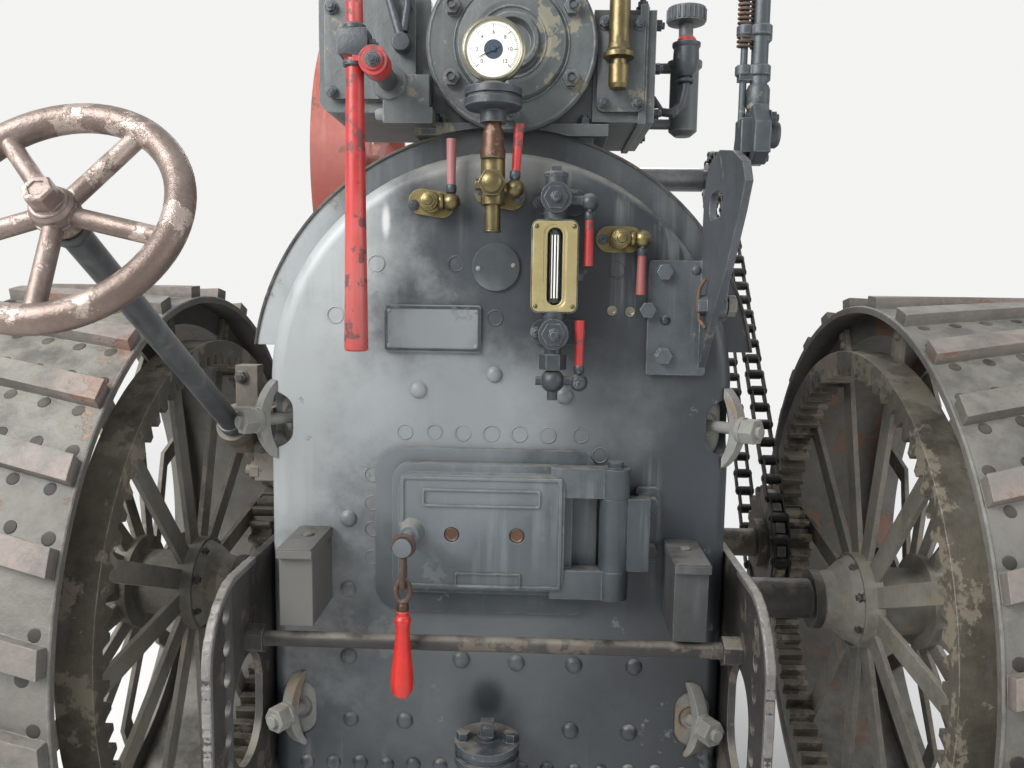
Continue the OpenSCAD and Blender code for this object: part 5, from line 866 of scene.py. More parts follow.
def dressBoiler():
    repeated("stayHeads", "heads", [(x, 1, z, back) for x, z in boiler["stays"]], "boilerPaint", slot="boiler_paint",
             Radius=boiler["stayRadius"] / 1000, Height=boiler["stayHeight"] / 1000, Seed=11)
    repeated("flushStays", "rings", [(x, 0, z, back) for x, z in boiler["flush"]], "boilerPaint", slot="boiler_paint",
             Radius=0.0145, Height=0.0016, Seed=4)
    count = boiler["bottomCount"]
    row = [(i * boiler["bottomPitch"], 1, boiler["bottomRow"] + chance.uniform(-2, 2), back)
           for i in range(-count + 1, count)]
    repeated("ringRivets", "heads", row, "boilerPaint", slot="boiler_paint", Radius=0.015, Height=0.009, Seed=2)
    axis, wide, side, first, pitch = (boiler[key] for key in ("axis", "flange", "side", "flangeRow", "flangePitch"))
    flange = []
    for s in (-1, 1):
        heights = [548 + pitch * i for i in range(12)]
        flange += [(s * wide, first, z, (s, 0, 0)) for z in heights if abs(z - boiler["holeHeight"]) > 80]
        flange += [(s * side, 110 + pitch * i, boiler["bottomRow"], (s, 0, 0)) for i in range(11)]
        for i in range(4):
            flange += [(s * side, 150 + 150 * k, 1010 + 84 * i, (s, 0, 0)) for k in range(5)]
    flange += [(wide * math.cos(a), first, axis + wide * math.sin(a), (math.cos(a), 0, math.sin(a)))
               for a in (math.radians(12 + i * 156 / 20) for i in range(21))]
    repeated("flangeRivets", "heads", flange, "boilerPaint", slot="boiler_paint", Radius=0.0145, Height=0.003, Seed=6)
    shell = []
    radius = boiler["smokebox"]
    for y in (2336, 2784):
        shell += [(radius * math.cos(a), y, axis + radius * math.sin(a), (math.cos(a), 0, math.sin(a)))
                  for a in (i * math.tau / 40 for i in range(40)) if y > 2400 or abs(math.degrees(a) - 90) > 20]
    repeated("smokeboxRivets", "heads", shell, "smokeBlack", slot="black_paint", Radius=0.014, Height=0.008, Seed=8)
    bm = bmesh.new()
    low, high = boiler["barrelBand"]
    for y in boiler["barrelBands"]:
        place = facing((0, y, axis), (0, 1, 0))
        loft(bm, [ringAt(bm, place, r / 1000, h / 1000, 96) for r, h in ((low, -19), (high, -19), (high, 19), (low, 19))],
             closed=True)
    finishPiece("laggingBands", bm, "frameSteel")
    bm = bmesh.new()
    low, high = boiler["crownBand"]
    foot = math.asin(boiler["crownFoot"])
    for y in boiler["crownBands"]:
        loops = []
        for a in (foot + (math.pi - 2 * foot) * i / 60 for i in range(61)):
            loops.append([bm.verts.new(spot(r * math.cos(a), y + step, axis + r * math.sin(a)))
                          for r, step in ((low, -17), (high, -17), (high, 17), (low, 17))])
        loft(bm, loops)
        bm.faces.new(loops[0])
        bm.faces.new(list(reversed(loops[-1])))
    finishPiece("crownBands", bm, "frameSteel")
    # The blank plate's raised border, and the screws of that plate and of the disc
    bm = bmesh.new()
    x, z, wide, tall, border = (blankPlate[key] for key in ("x", "z", "wide", "tall", "border"))
    outer = roundedRect(x, z, wide, tall, 5)
    inner = roundedRect(x, z, wide - 2 * border, tall - 2 * border, 4)
    loft(bm, [[bm.verts.new(spot(u, y, v)) for u, v in line]
              for line, y in ((outer, -5.6), (outer, -8.2), (inner, -8.2), (inner, -5.6))], closed=True)
    finishPiece("plateBorder", bm, "doorIron")
    repeated("plateScrews", "heads", [(x, -6, z, back) for x in (-202, -42) for z in (1348, 1412)]
             + [(-7 + 32 * math.cos(a), -6, 1493 + 32 * math.sin(a), back) for a in (0.1, math.pi + 0.1)],
             "dogIron", slot="boiler_paint", Radius=0.005, Height=0.0025, Seed=21)
    bm = bmesh.new()
    for x, z in ((205, 1418), (238, 1416)):
        turned(bm, [(0, -1), (9, -1), (9, 2.5), (6, 2.5), (5, 1), (0, 1)], (x, 0, z), back, 20)
    finishPiece("smallPlugs", bm, "paleBezel")


dressBoiler()
print("boiler dressed")

# ---- fire door: cast frames, peep holes, hinge and the hanging handle ----

# frames hold x, z, width, height, border and rise; the handle hangs from hung and leans by lean degrees
door = {"front": -62, "frames": ((-25, 1079, 214, 34, 5, 4), (-12, 927, 122, 30, 5, 4), (-25, 1015, 292, 206, 7, 3)),
        "peepHoles": (-78, 40), "peepHeight": 1011, "hinge": (216, -41), "hung": (-152, -146, 1014), "lean": 3}


def castFrame(bm, y, cx, cz, w, h, wide, high):
    loft(bm, [[bm.verts.new(spot(u, depth, v)) for u, v in roundedRect(cx, cz, w - 2 * inset, h - 2 * inset, 4, 4)]
              for inset, depth in ((0, y + 0.5), (1, y - high), (wide - 1, y - high), (wide, y + 0.5))], closed=True)


def dressDoor():
    y = door["front"]
    bm = bmesh.new()
    for values in door["frames"]:
        castFrame(bm, y, *values)
    finishPiece("doorFrames", bm, "doorIron", "fire_door")
    bm = bmesh.new()
    for x in door["peepHoles"]:
        turned(bm, [(0, -4), (13.4, -4), (13.4, -1), (11.5, 0.5), (10.2, -1.5), (0, -2.5)],
               (x, y + 1, door["peepHeight"]), back, 28)
    finishPiece("peepDiscs", bm, "copperBrown", "fire_door")
    repeated("hingeCaps", "heads", [(*door["hinge"], 1139, (0, 0, 1)), (*door["hinge"], 893, (0, 0, -1))], "doorIron",
             "fire_door", "door_iron", Radius=0.0125, Height=0.006, Seed=3)
    # The handle: eye, two links, ferrule and turned grip
    hx, hy, hz = door["hung"]
    lean = math.radians(door["lean"])
    down = (0, -math.sin(lean), -math.cos(lean))

    def below(dx, drop, dy=0.0):
        return (hx + dx, hy + dy * math.cos(lean) - drop * math.sin(lean), hz - drop * math.cos(lean))

    bm = bmesh.new()
    hoop(bm, (hx, hy, hz), (0, 1, 0), 16.4, 5.6, 48, 12)
    upper = [below(0, 46 + 27 * math.cos(a), 11.5 * math.sin(a)) for a in (i * math.tau / 40 for i in range(40))]
    lower = [below(12.0 * math.sin(a), 79 + 19 * math.cos(a)) for a in (i * math.tau / 30 for i in range(30))]
    swept(bm, upper, 5.4, 12, True)
    swept(bm, lower, 5.0, 12, True)
    swept(bm, [below(0, 96), below(0, 104), below(0, 118)], [6.5, 6.0, 6.0], 14)
    finishPiece("handleLinks", bm, "rustIron", "door_handle")
    bm = bmesh.new()
    grip = [(0, 112), (9.0, 112), (10.6, 114), (10.6, 122), (13.2, 125), (14.8, 130), (13.6, 136), (12.2, 142),
            (12.6, 158), (14.8, 184), (17.6, 208), (19.6, 228), (19.9, 240), (18.4, 251), (14.6, 259.5), (9.0, 264.5),
            (4, 266), (0, 266)]
    turned(bm, grip, (hx, hy, hz), down, 40)
    handle = finishPiece("handleGrip", bm, "gripRed", "door_handle")
    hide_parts("door_handle")
    bm = bmesh.new()
    turned(bm, [(0, 100), (8.5, 100), (10.2, 104), (10.4, 111), (9.4, 116), (0, 116)], (hx, hy, hz), down, 28)
    finishPiece("handleFerrule", bm, "copperBrown", "door_handle")


dressDoor()
print("fire door dressed")

# ---- gauges and cocks ----

gauge = {"x": -11, "z": 1849, "face": -92, "reading": 0.06, "full": 12, "stem": (-11, -74, 1674)}
# The frame's rings hold width, height, corner and place towards the back
waterGauge = {"x": 98, "z": 1493, "y": -70,
              "frame": ((81.4, 159.4, 14, 18), (81.4, 159.4, 14, -14), (75, 153, 11, -18), (40, 143, 16, -18),
                        (37, 140, 16, -16.4), (27, 133, 13.2, -16.4), (25.6, 131.6, 12.6, -14), (25.6, 131.6, 12.6, -2),
                        (40, 143, 14, 18))}


def onDial(fraction, radius):
    # Places go clockwise from lower left, three quarters of the way round
    a = math.radians(225 - 270 * fraction)
    return gauge["x"] + radius * math.cos(a), gauge["z"] + radius * math.sin(a)


def dressGauge():
    x, z, y = gauge["x"], gauge["z"], gauge["face"]
    bm = bmesh.new()
    turned(bm, [(0, -2), (46.5, -2), (46.5, 0.8), (45.8, 1.2), (0, 1.2)], (x, y, z), back, 64)
    finishPiece("dialFace", bm, "dialWhite")
    bm = bmesh.new()
    for i in range(61):
        long = i % 10 == 0
        half = 0.55 if long else 0.28
        r0 = 34.5 if long else (37 if i % 5 == 0 else 38.5)
        a = math.radians(225 - 270 * i / 60)
        along = Vector((math.cos(a), 0, math.sin(a)))
        side = Vector((-math.sin(a), 0, math.cos(a)))
        corners = []
        for r, s in ((r0, -half), (41.5, -half), (41.5, half), (r0, half)):
            p = along * r + side * s
            corners.append((x + p.x, z + p.z))
        loops = [[bm.verts.new(spot(u, d, v)) for u, v in corners] for d in (y - 1.0, y - 1.7)]
        joinRings(bm, loops[0], loops[1])
        bm.faces.new(loops[1])
        bm.faces.new(list(reversed(loops[0])))
    for value in range(0, gauge["full"] + 1, 2):
        curve = bpy.data.curves.new("figure", "FONT")
        curve.body = str(value)
        curve.size = 0.0092
        curve.extrude = 0.0003
        curve.align_x = "CENTER"
        curve.align_y = "CENTER"
        sign = bpy.data.objects.new("figure", curve)
        scene.collection.objects.link(sign)
        mesh = bpy.data.meshes.new_from_object(sign.evaluated_get(bpy.context.evaluated_depsgraph_get()))
        bpy.data.objects.remove(sign)
        u, v = onDial(value / gauge["full"], 27.5)
        mesh.transform(Matrix.Translation(spot(u, y - 1.4, v)) @ Matrix.Rotation(math.pi / 2, 4, "X"))
        bm.from_mesh(mesh)
        bpy.data.meshes.remove(mesh)
    finishPiece("dialMarks", bm, "dialInk")
    bm = bmesh.new()
    tip = onDial(gauge["reading"], 36)
    tail = onDial(gauge["reading"] + 0.6667, 11)
    aim = Vector((tip[0] - tail[0], tip[1] - tail[1])).normalized()
    side = Vector((-aim.y, aim.x))
    needle = [(tip[0], tip[1])] + [(x + side.x * s + aim.x * f, z + side.y * s + aim.y * f)
                                   for s, f in ((1.5, 4), (1.9, -10), (-1.9, -10), (-1.5, 4))]
    extruded(bm, needle, "y", y - 3.4, y - 2.6, 0)
    turned(bm, [(0, 0), (4.2, 0), (4.2, 3.6), (3, 4.6), (0, 4.6)], (x, y - 1, z), back, 24)
    turned(bm, [(0, 0), (16, 0), (16, 0.5), (0, 0.5)], (x, y - 1, z), back, 32)
    finishPiece("dialNeedle", bm, "dialBlue")
    bm = bmesh.new()
    hoop(bm, (x, y - 3.2, z), (0, 1, 0), 48.2, 2.6, 64, 12)
    hoop(bm, (x, y + 14, z), (0, 1, 0), 49.6, 1.6, 64, 10)
    finishPiece("bezelRing", bm, "paleBezel")
    # Stem: dark flange pair, brown union below it and the gland's bolts
    bm = bmesh.new()
    turned(bm, [(0, 59), (22.6, 59), (22.6, 78), (44.6, 81.5), (48.8, 85.5), (48.8, 96.6), (44.6, 98.6), (44.6, 101.4),
                (48.8, 103.4), (48.8, 114.6), (31, 118.6), (20.6, 125), (14.7, 133), (14.7, 126), (0, 126)],
           gauge["stem"], (0, 0, 1), 56)
    finishPiece("gaugeFlange", bm, "fittingsIron")
    repeated("gaugeFlangeBolts", "bolts", [(x + 36 * math.cos(a), -74 + 36 * math.sin(a), 1788.5, (0, 0, 1))
                                           for a in (0.6, 2.5, 3.9, 5.5)], "fittingsIron", slot="gauge_bezel",
             Radius=0.0065, Height=0.006, Seed=4)
    bm = bmesh.new()
    turned(bm, [(0, 0.5), (21.6, 0.5), (21.6, 13.6), (18.6, 20), (17.6, 44), (13.6, 54), (13.6, 60), (0, 60)],
           gauge["stem"], (0, 0, 1), 40)
    finishPiece("gaugeUnion", bm, "copperBrown")


def dressWaterGauge():
    x, z, y = waterGauge["x"], waterGauge["z"], waterGauge["y"]
    bm = bmesh.new()
    loft(bm, [[bm.verts.new(spot(u, y + d, v)) for u, v in roundedRect(x, z, wide, tall, corner, 5)]
              for wide, tall, corner, d in waterGauge["frame"]], closed=True)
    finishPiece("gaugeFrame", bm, "paleBrass", angle=30)
    bm = bmesh.new()
    for dx, dy, wide in ((-5.0, -7.6, 1.1), (0, -9.2, 1.5), (5.0, -7.6, 1.1)):
        swept(bm, [(x + dx, y + dy, z - 54), (x + dx, y + dy, z + 54)], wide, 8)
    finishPiece("glassStripes", bm, "waterWhite")
    bm = bmesh.new()
    extruded(bm, roundedRect(x, z, 27, 133, 13), "y", y + 11.5, y + 16, 0.5)
    finishPiece("glassBack", bm, "fittingsIron")
    repeated("frameScrews", "heads", [(x + sx * 32, y - 18, z + sz * 68, back) for sx in (-1, 1) for sz in (-1, 1)],
             "dullBrass", slot="door_iron", Radius=0.004, Height=0.002, Seed=5)
    repeated("gaugeNuts", "bolts", [(x, -98, 1609, back), (x, -98, 1377, back), (144, -91, 1293, back),
                                    (x + 48, -9, 1609, back), (x - 30, -9, 1609, back), (x + 48, -9, 1377, back),
                                    (x - 30, -9, 1377, back)], "fittingsIron", slot="door_iron",
             Radius=0.009, Height=0.007, Seed=15)
    bm = bmesh.new()
    turned(bm, [(0, 0), (17, 0), (21, 3), (21, 9), (17, 12), (0, 12)], (x, y, 1642), (0, 0, 1), 6)
    for height in (1404, 1572):
        turned(bm, [(0, 0), (16, 0), (20.6, 2), (20.6, 12), (16, 14), (0, 14)], (x, y, height), (0, 0, 1), 36)
    finishPiece("gaugeGlands", bm, "fittingsIron")


def dressCocks():
    bm = bmesh.new()
    for x, z in ((-124, 1605), (214, 1545)):
        turned(bm, [(0, 0), (16.5, 0), (19, 2.5), (19, 7), (16.5, 9.5), (0, 9.5)], (x, -24, z), back, 36)
        turned(bm, [(0, 0), (11.6, 0), (12.4, 1), (12.4, 3), (9, 4), (8, 8), (5, 9.4), (0, 9.4)], (x, -58, z), back, 30)
        turned(bm, [(0, 0), (13, 0), (14.5, 2), (14.5, 6), (13, 8), (0, 8)], (x + 17, -34, z), (1, 0, 0), 24)
    turned(bm, [(0, 0), (12, 0), (17, 3), (17, 6), (12, 9), (7, 11), (0, 11)], (-11, -96, 1632), back, 32)
    hoop(bm, (-11, -63, 1553), (0, 0, 1), 13.4, 2.2, 36, 10)
    hoop(bm, (-11, -63, 1600), (0, 0, 1), 17.8, 3.0, 36, 10)
    finishPiece("cockGlands", bm, "dullBrass")
    repeated("cockFlangeBolts", "bolts", [(-156, -9, 1601, back), (-90, -9, 1609, back), (184, -9, 1545, back),
                                          (245, -9, 1545, back), (-38, -9, 1630, back), (32, -9, 1616, back)],
             "fittingsIron", slot="brass", Radius=0.0085, Height=0.007, Seed=23)
    repeated("leverRivets", "heads", [(-86, -34, 1621, back), (27, -71, 1642, back), (252, -42, 1529, back),
                                      (156, -79, 1588, back), (144, -79, 1310, back)], "fittingsIron", slot="red_paint",
             Radius=0.004, Height=0.003, Seed=2)
    # Shoulders at the foot of each lever and rounded ends
    bm = bmesh.new()
    for x, y, z, up, length in ((-86, -34, 1605, 1, 92), (27, -63, 1626, 1, 92), (252, -34, 1545, -1, 82),
                                (156, -70, 1603, -1, 92), (144, -70, 1293, 1, 92)):
        turned(bm, [(0, 15.5), (8, 15.5), (9.4, 18), (9.4, 27), (8, 30), (0, 30)], (x, y, z), (0, 0, up), 24)
    finishPiece("leverShoulders", bm, "fittingsIron")


dressGauge()
dressWaterGauge()
dressCocks()
print("gauges and cocks dressed")

# ---- cylinder, chests and regulator ----


cylinder = {"x": 14, "z": 1895, "cover": 60, "studs": 125}
lubricator = {"x": 352, "y": 200, "z": 1824, "knurl": 36.5, "bowl": (346, 150)}
regulator = {"x": -240, "y": -106, "z": 1848, "shaft": (-206, 1822)}


def dressCylinder():
    x, z, cover = cylinder["x"], cylinder["z"], cylinder["cover"]
    repeated("saddleBolts", "bolts", [(u, y, 1759, (0, 0, 1)) for u in (-128, 150) for y in (78, 470)], "fittingsIron",
             slot="boiler_paint", Radius=0.013, Height=0.014, Seed=1)
    chest = [(u, 56, v, back) for u in (-318, -176) for v in (1812, 1962)]
    repeated("leftChestNuts", "bolts", chest, "fittingsIron", slot="boiler_paint", Radius=0.010, Height=0.011, Seed=5)
    right = [(254, y, 1972, (0, 0, 1)) for y in (90, 230, 370)]
    side = [(278, y, v, (1, 0, 0)) for y in (100, 360) for v in (1786, 1868, 1946)]
    repeated("rightChestNuts", "bolts", right + side, "fittingsIron", slot="boiler_paint", Radius=0.011, Height=0.012,
             Seed=8)
    bm = bmesh.new()
    extruded(bm, roundedRect(214, 1866, 86, 170, 12), "y", 58, 69.5, 2.5)
    finishPiece("rightChestCover", bm, "cylinderPaint")
    repeated("rightCoverNuts", "bolts", [(u, 58, v, back) for u in (182, 246) for v in (1796, 1936)], "fittingsIron",
             slot="boiler_paint", Radius=0.0095, Height=0.011, Seed=6)
    # Rings turned on the cylinder cover
    bm = bmesh.new()
    for radius, wire, y in ((150, 2.2, cover - 21.5), (104, 1.8, cover - 23), (62, 2.6, cover - 33)):
        hoop(bm, (x, y, z), (0, 1, 0), radius, wire, 96, 8)
    finishPiece("coverRings", bm, "cylinderPaint")
    radius = cylinder["studs"]
    studs = [(x + radius * math.cos(a), cover - 42, z + radius * math.sin(a), back)
             for a in (math.radians(degrees) for degrees in range(30, 390, 60))]
    repeated("coverStuds", "coils", studs, "fittingsIron", slot="boiler_paint", Radius=0.0072, Wire=0.0009, Turns=3.0,
             Length=0.005, Seed=1)
    # Fork and link at the top of the left chest
    bm = bmesh.new()
    swept(bm, [(-216, 40, 2000), (-206, 38, 1965), (-190, 34, 1915), (-184, 32, 1894)], [7, 8, 9, 10], 12)
    swept(bm, [(-176, 44, 2000), (-176, 42, 1960), (-182, 38, 1915)], [6, 7, 8], 12)
    turned(bm, [(0, -14), (15, -14), (17, -11), (17, 11), (15, 14), (0, 14)], (-185, 34, 1893), (0, 1, 0), 28)
    swept(bm, [(-186, 48, 1893), (-198, 60, 1900)], 9, 12)
    finishPiece("chestLink", bm, "fittingsIron")
    # Slotted piece under the left chest
    bm = bmesh.new()
    extruded(bm, roundedRect(-205, 1774, 70, 22, 6), "y", 64, 92, 2)
    finishPiece("chestFoot", bm, "cylinderPaint")


def dressLubricator():
    x, y, z = lubricator["x"], lubricator["y"], lubricator["z"]
    bowl = lubricator["bowl"]
    bm = bmesh.new()
    for a in range(0, 360, 15):
        u = x + lubricator["knurl"] * math.cos(math.radians(a))
        v = y + lubricator["knurl"] * math.sin(math.radians(a))
        swept(bm, [(u, v, z + 159), (u, v, z + 181)], 2.8, 6)
    turned(bm, [(0, 0), (10, 0), (10, 6), (7, 8), (0, 8)], (x, y, z + 184), (0, 0, 1), 20)
    turned(bm, [(0, 0), (14, 0), (22, 10), (25, 30), (24, 52), (27, 56), (27, 62), (20, 64), (0, 64)],
           (*bowl, 1866), (0, 0, 1), 36)
    swept(bm, [(*bowl, 1868), (346, 148, 1842), (340, 146, 1812), (322, 144, 1796), (300, 150, 1800), (284, 160, 1826)],
          9, 14)
    swept(bm, [(350, 172, 1890), (*bowl, 1890)], 11, 14)
    hoop(bm, (*bowl, 1858), (0, 0, 1), 14, 4, 36, 10)
    finishPiece("lubricatorCup", bm, "fittingsIron")
    bm = bmesh.new()
    turned(bm, [(0, 0), (17, 0), (18, 2), (18, 7), (14, 12), (8, 14), (0, 14)], (*bowl, 1928), (0, 0, 1), 30)
    finishPiece("lubricatorCap", bm, "signalRed")


def dressRegulator():
    x, y, z = regulator["x"], regulator["y"], regulator["z"]
    shaftX, shaftZ = regulator["shaft"]
    bm = bmesh.new()
    extruded(bm, roundedRect(x, z + 4, 50, 42, 3), "y", y - 21.5, y + 21.5, 2.2)
    turned(bm, [(0, 0), (16, 0), (19, 3), (19, 9), (16, 12), (0, 12)], (x, y, z + 24), (0, 0, 1), 28)
    turned(bm, [(0, 0), (18, 0), (20, 2), (20, 7), (17, 9), (0, 9)], (x, y, z - 33), (0, 0, 1), 28)
    finishPiece("regulatorHead", bm, "fittingsIron", "regulator", angle=30)
    repeated("regulatorBolts", "bolts", [(x + 25, y, z + 2, (1, 0, 0)), (shaftX, y - 26, shaftZ, back)], "fittingsIron",
             "regulator", "red_paint", Radius=0.0105, Height=0.010, Seed=2)
    bm = bmesh.new()
    swept(bm, [(x, y, z + 30), (x, y, z + 265)], 13.0, 20)
    finishPiece("regulatorRod", bm, "blackRod", "regulator")
    bm = bmesh.new()
    swept(bm, [(shaftX, -84, shaftZ), (shaftX, 12, shaftZ)], 17.5, 20)
    finishPiece("regulatorShaft", bm, "blackRod", "regulator")


dressCylinder()
dressLubricator()
dressRegulator()
print("cylinder and regulator dressed")

# ---- reversing lever, tie rod, horn plates and steering ----


reverser = {"x": 408, "y": -173, "latch": 384, "collars": (1788, 1848, 1940)}
# Rear edge of a horn plate: straight up, a quarter circle, then forwards, cut in steps of "pitch"
horn = {"back": -292, "foot": 424, "top": 962, "corner": 130, "end": -72, "pitch": 4.6, "arc": 34}


def dressReverser():
    x, y, latch = reverser["x"], reverser["y"], reverser["latch"]
    repeated("latchSpring", "coils", [(latch, y, 1830, (0, 0, 1))], "rustIron", "reverser", "frame_steel",
             Radius=0.0105, Wire=0.0022, Turns=11.0, Length=0.076, Seed=1)
    bm = bmesh.new()
    extruded(bm, [(-150, 1655), (-125, 1672), (-128, 1712), (-150, 1742), (-196, 1742), (-218, 1712), (-214, 1668),
                  (-190, 1652)], "x", 395, 421, 4)
    turned(bm, [(0, 0), (19, 0), (21, 3), (21, 16), (18, 20), (0, 20)], (422, y, 1700), (1, 0, 0), 30)
    turned(bm, [(0, 0), (16.5, 0), (18, 4), (18, 30), (15.5, 36), (0, 36)], (x, y, 1738), (0, 0, 1), 28)
    finishPiece("leverJaws", bm, "leverSteel", "reverser", angle=30)
    repeated("jawBolts", "bolts", [(421, -148, 1668, (1, 0, 0)), (421, -200, 1720, (1, 0, 0))], "fittingsIron",
             "reverser", "frame_steel", Radius=0.010, Height=0.009, Seed=3)
    bm = bmesh.new()
    for z in reverser["collars"]:
        turned(bm, [(0, 0), (11, 0), (13, 2), (13, 14), (11, 16), (0, 16)], (latch, y, z), (0, 0, 1), 24)
        turned(bm, [(0, 0), (16, 0), (17.6, 2), (17.6, 14), (16, 16), (0, 16)], (x, y, z), (0, 0, 1), 28)
    finishPiece("latchCollars", bm, "leverSteel", "reverser")
    repeated("standBolts", "heads", [(300, -12, 1402, back), (352, -12, 1492, back)], "boilerPaint", slot="frame_steel",
             Radius=0.009, Height=0.005, Seed=7)
    bm = bmesh.new()
    swept(bm, [(356, -78, 1476), (349, -70, 1462), (347, -66, 1436), (350, -68, 1406), (360, -74, 1392)], 3.4, 8)
    finishPiece("standClip", bm, "rustIron")


def hornEdge():
    # Places (y, z) along the cut and the way out of the plate at each
    corner, top, pitch = horn["corner"], horn["top"], horn["pitch"]
    path = []
    z = float(horn["foot"])
    while z < top - corner:
        path.append((float(horn["back"]), z, -1.0, 0.0))
        z += pitch
    for i in range(horn["arc"]):
        a = math.radians(180 - 90 * i / (horn["arc"] - 1))
        path.append((horn["back"] + corner * (1 + math.cos(a)), top - corner * (1 - math.sin(a)), math.cos(a), math.sin(a)))
    y = -156.0
    while y < horn["end"]:
        path.append((y, float(top), 0.0, 1.0))
        y += pitch
    return path


def dressHornPlates():
    # Torch-cut rear edges: the flame's drag lines run across the thickness
    for side, label in ((-1, "Left"), (1, "Right")):
        bm = bmesh.new()
        rings = []
        for y0, z0, ny, nz in hornEdge():
            out = chance.uniform(0.1, 2.4) + 0.7 * math.sin(z0 / 17)
            ring = []
            for x, depth in ((433.4, -9), (433.4, out - 1.2), (436, out), (441, out + chance.uniform(-0.5, 0.4)),
                             (446, out), (448.6, out - 1.6), (448.6, -9)):
                ring.append(bm.verts.new(spot(side * x, y0 + ny * depth, z0 + nz * depth)))
            rings.append(ring)
        loft(bm, rings)
        bm.faces.new(rings[0])
        bm.faces.new(list(reversed(rings[-1])))
        finishPiece("cutEdge" + label, bm, "cutSteel", angle=22)
    repeated("hornBolts", "bolts", [(s * 448.2, y, z, (s, 0, 0)) for s in (-1, 1) for y in (90, 706) for z in (620, 780)]
             + [(s * 474, rear["y"] + dy, rear["z"] + dz, (s, 0, 0))
                for s in (-1, 1) for dy in (-84, 84) for dz in (-72, 72)],
             "frameSteel", Radius=0.015, Height=0.016, Seed=9)


def dressTieRod():
    for name, places, turns, length in (("rodThreads", (383, -432), 7.0, 0.018),
                                        ("rodEndThreads", (481, -495), 5.0, 0.012)):
        repeated(name, "coils", [(x, -118, 831, (1, 0, 0)) for x in places], "frameSteel", Radius=0.0138, Wire=0.0012,
                 Turns=turns, Length=length, Seed=1)


def dressBrackets():
    bm = bmesh.new()
    for x, top in ((-341, 1001), (342, 992)):
        extruded(bm, roundedRect(x, -75, 60, 148, 5), "z", top - 0.5, top + 2.6, 1.6)
    finishPiece("bracketPads", bm, "padIron")
    repeated("bracketPins", "heads", [(-341, -60, 1003, (0, 0, 1)), (342, -60, 994, (0, 0, 1))], "frameSteel",
             slot="frame_steel", Radius=0.012, Height=0.006, Seed=3)


steering = {"foot": (-508, 60, 1170), "slope": 31.7}


def dressSteering():
    slope = math.radians(steering["slope"])
    up = (0, -math.cos(slope), math.sin(slope))

    def along(distance):
        return tuple(f + u * distance for f, u in zip(steering["foot"], up))

    bm = bmesh.new()
    swept(bm, [along(36), along(664)], 19.4, 28)
    turned(bm, [(0, 0), (22, 0), (24, 3), (24, 16), (22, 19), (0, 19)], along(36), up, 32)
    turned(bm, [(0, 0), (21, 0), (23.5, 4), (23.5, 12), (21, 16), (0, 16)], along(652), up, 32)
    finishPiece("columnPaint", bm, "blackRod", "steering")
    bm = bmesh.new()
    turned(bm, [(0, 0), (19.5, 0), (19.5, 22), (17.5, 25), (11, 25), (10.4, 22), (0, 22)], along(719), up, 6)
    turned(bm, [(0, 0), (22, 0), (23.5, 1.5), (23.5, 3.5), (21.5, 5), (0, 5)], along(714), up, 36)
    hoop(bm, along(696), up, 27.2, 2.2, 48, 10)
    finishPiece("hubNut", bm, "wheelBronze", "steering", angle=25)
    repeated("columnBolts", "bolts", [(-492, 38, 1280, back), (-444, 30, 1208, back), (-470, 76, 1140, back)],
             "frameSteel", Radius=0.011, Height=0.010, Seed=4)


dressReverser()
dressHornPlates()
dressTieRod()
dressBrackets()
dressSteering()
print("levers, plates and steering dressed")

# ---- wheels ----

front = {"y": 2560, "z": 440, "rivets": 439.5, "bead": 425}


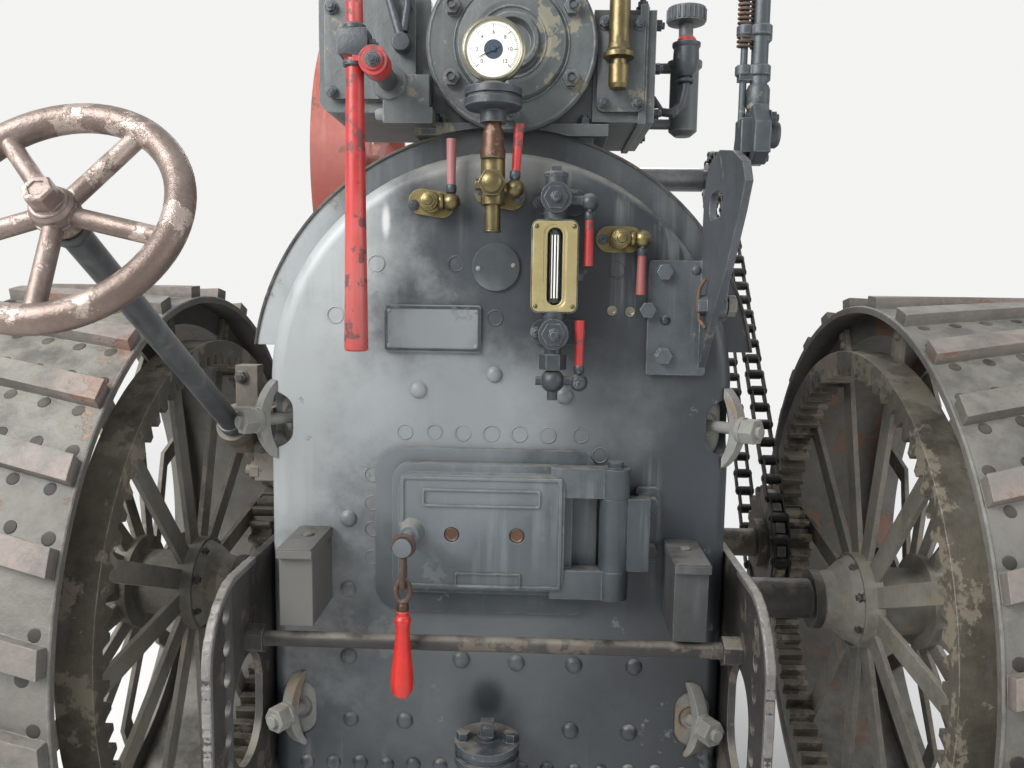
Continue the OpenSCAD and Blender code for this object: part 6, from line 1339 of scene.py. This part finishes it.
def dressWheels():
    slant = math.radians(rear["slant"])
    for side, label, edge in ((-1, "left", rear["edges"][0]), (1, "right", rear["edges"][1])):
        mid = edge + rear["width"] / 2
        places = []
        for k in range(rear["strakes"]):
            a = k * math.tau / rear["strakes"]
            for along in (-168, -95, -22, 51, 124, 182):
                for off in ((37, -37) if k % 5 else (37,)):
                    u = along * math.cos(slant) - off * math.sin(slant)
                    w = along * math.sin(slant) + off * math.cos(slant)
                    if abs(u) > 186:
                        continue
                    bend = -w / rear["radius"]
                    y = -rear["radius"] * math.sin(a + bend)
                    z = rear["radius"] * math.cos(a + bend)
                    places.append((side * (mid + u), rear["y"] + y, rear["z"] + z, (0, y, z)))
        repeated(label + "TreadRivets", "heads", places, "sunkRivet", "rear_wheel_" + label, "wheel_steel",
                 Radius=0.0125, Height=0.0012, Seed=12 + side)
        spokes = []
        outFace = 2 * mid - (edge - 16 + 70)
        inFace = edge - 16 + 70
        pitch = math.tau / rear["spokes"]
        for i in range(rear["spokes"]):
            for turn, x, dx in (((i + 0.25) * pitch, inFace, -1), ((i + 0.75) * pitch, outFace, 1)):
                for radius in (644, 668):
                    spokes.append((side * x, rear["y"] - radius * math.sin(turn), rear["z"] + radius * math.cos(turn),
                                   (side * dx, 0, 0)))
        repeated(label + "SpokeRivets", "heads", spokes, "spokeSteel", "rear_wheel_" + label, "wheel_steel",
                 Radius=0.012, Height=0.007, Seed=30 + side)
        bm = bmesh.new()
        for x in (edge + 3.6, edge + rear["width"] - 3.6):
            hoop(bm, (side * x, rear["y"], rear["z"]), (1, 0, 0), 698.5, 3.4, 180, 8)
        finishPiece(label + "TreadLips", bm, "treadSteel", "rear_wheel_" + label)
        bolts = []
        for i in range(8):
            a = (i + 0.5) * math.tau / 8
            for inwards, radius, dx in ((58, 94, side), (14, 96, -side), (214, 94, side)):
                bolts.append((side * (edge + inwards), rear["y"] + radius * math.sin(a), rear["z"] + radius * math.cos(a),
                              (dx, 0, 0)))
        repeated(label + "HubBolts", "bolts", bolts, "hubGrease", "rear_wheel_" + label, "wheel_steel",
                 Radius=0.011, Height=0.011, Seed=40 + side)
    rivets = []
    for s in (-1, 1):
        for i in range(20):
            a = (i + 0.5) * math.tau / 20
            for x in (s * 490, s * 570):
                rivets.append((x, front["y"] - front["rivets"] * math.sin(a),
                               front["z"] + front["rivets"] * math.cos(a) * 0.999, (0, -math.sin(a), math.cos(a))))
    # None at the foot or at the foremost place, where a head would leave the frame's box
    rivets = [p for p in rivets if p[2] > 12 and p[1] < 2994]
    repeated("frontRivets", "heads", rivets, "fadedRed", slot="wheel_red", Radius=0.010, Height=0.003, Seed=3)
    bm = bmesh.new()
    for s in (-1, 1):
        for x in (448, 612):
            hoop(bm, (s * x, front["y"], front["z"]), (1, 0, 0), front["bead"], 5, 96, 8)
    finishPiece("frontRimBeads", bm, "fadedRed")


def dressFront():
    bm = bmesh.new()
    turned(bm, [(0, -4), (30, -4), (30, 4), (22, 8), (16, 12), (16, 34), (20, 36), (20, 46), (12, 50), (0, 50)],
           (0, 2838, 1270), (0, 1, 0), 32)
    for dz, dx in ((-1, 0.35), (0.4, 1)):
        swept(bm, [(0, 2876, 1270), (70 * dx, 2884, 1270 + 70 * dz), (118 * dx, 2886, 1270 + 118 * dz)], [8, 7, 9], 12)
    finishPiece("doorDart", bm, "brightSteel")
    bm = bmesh.new()
    hoop(bm, (0, 2560, 3036), (0, 0, 1), 126, 8, 72, 10)
    hoop(bm, (0, 2560, 1760), (0, 0, 1), 122, 6, 72, 10)
    finishPiece("chimneyBeads", bm, "smokeBlack")


dressWheels()
dressFront()
print("wheels and front dressed")
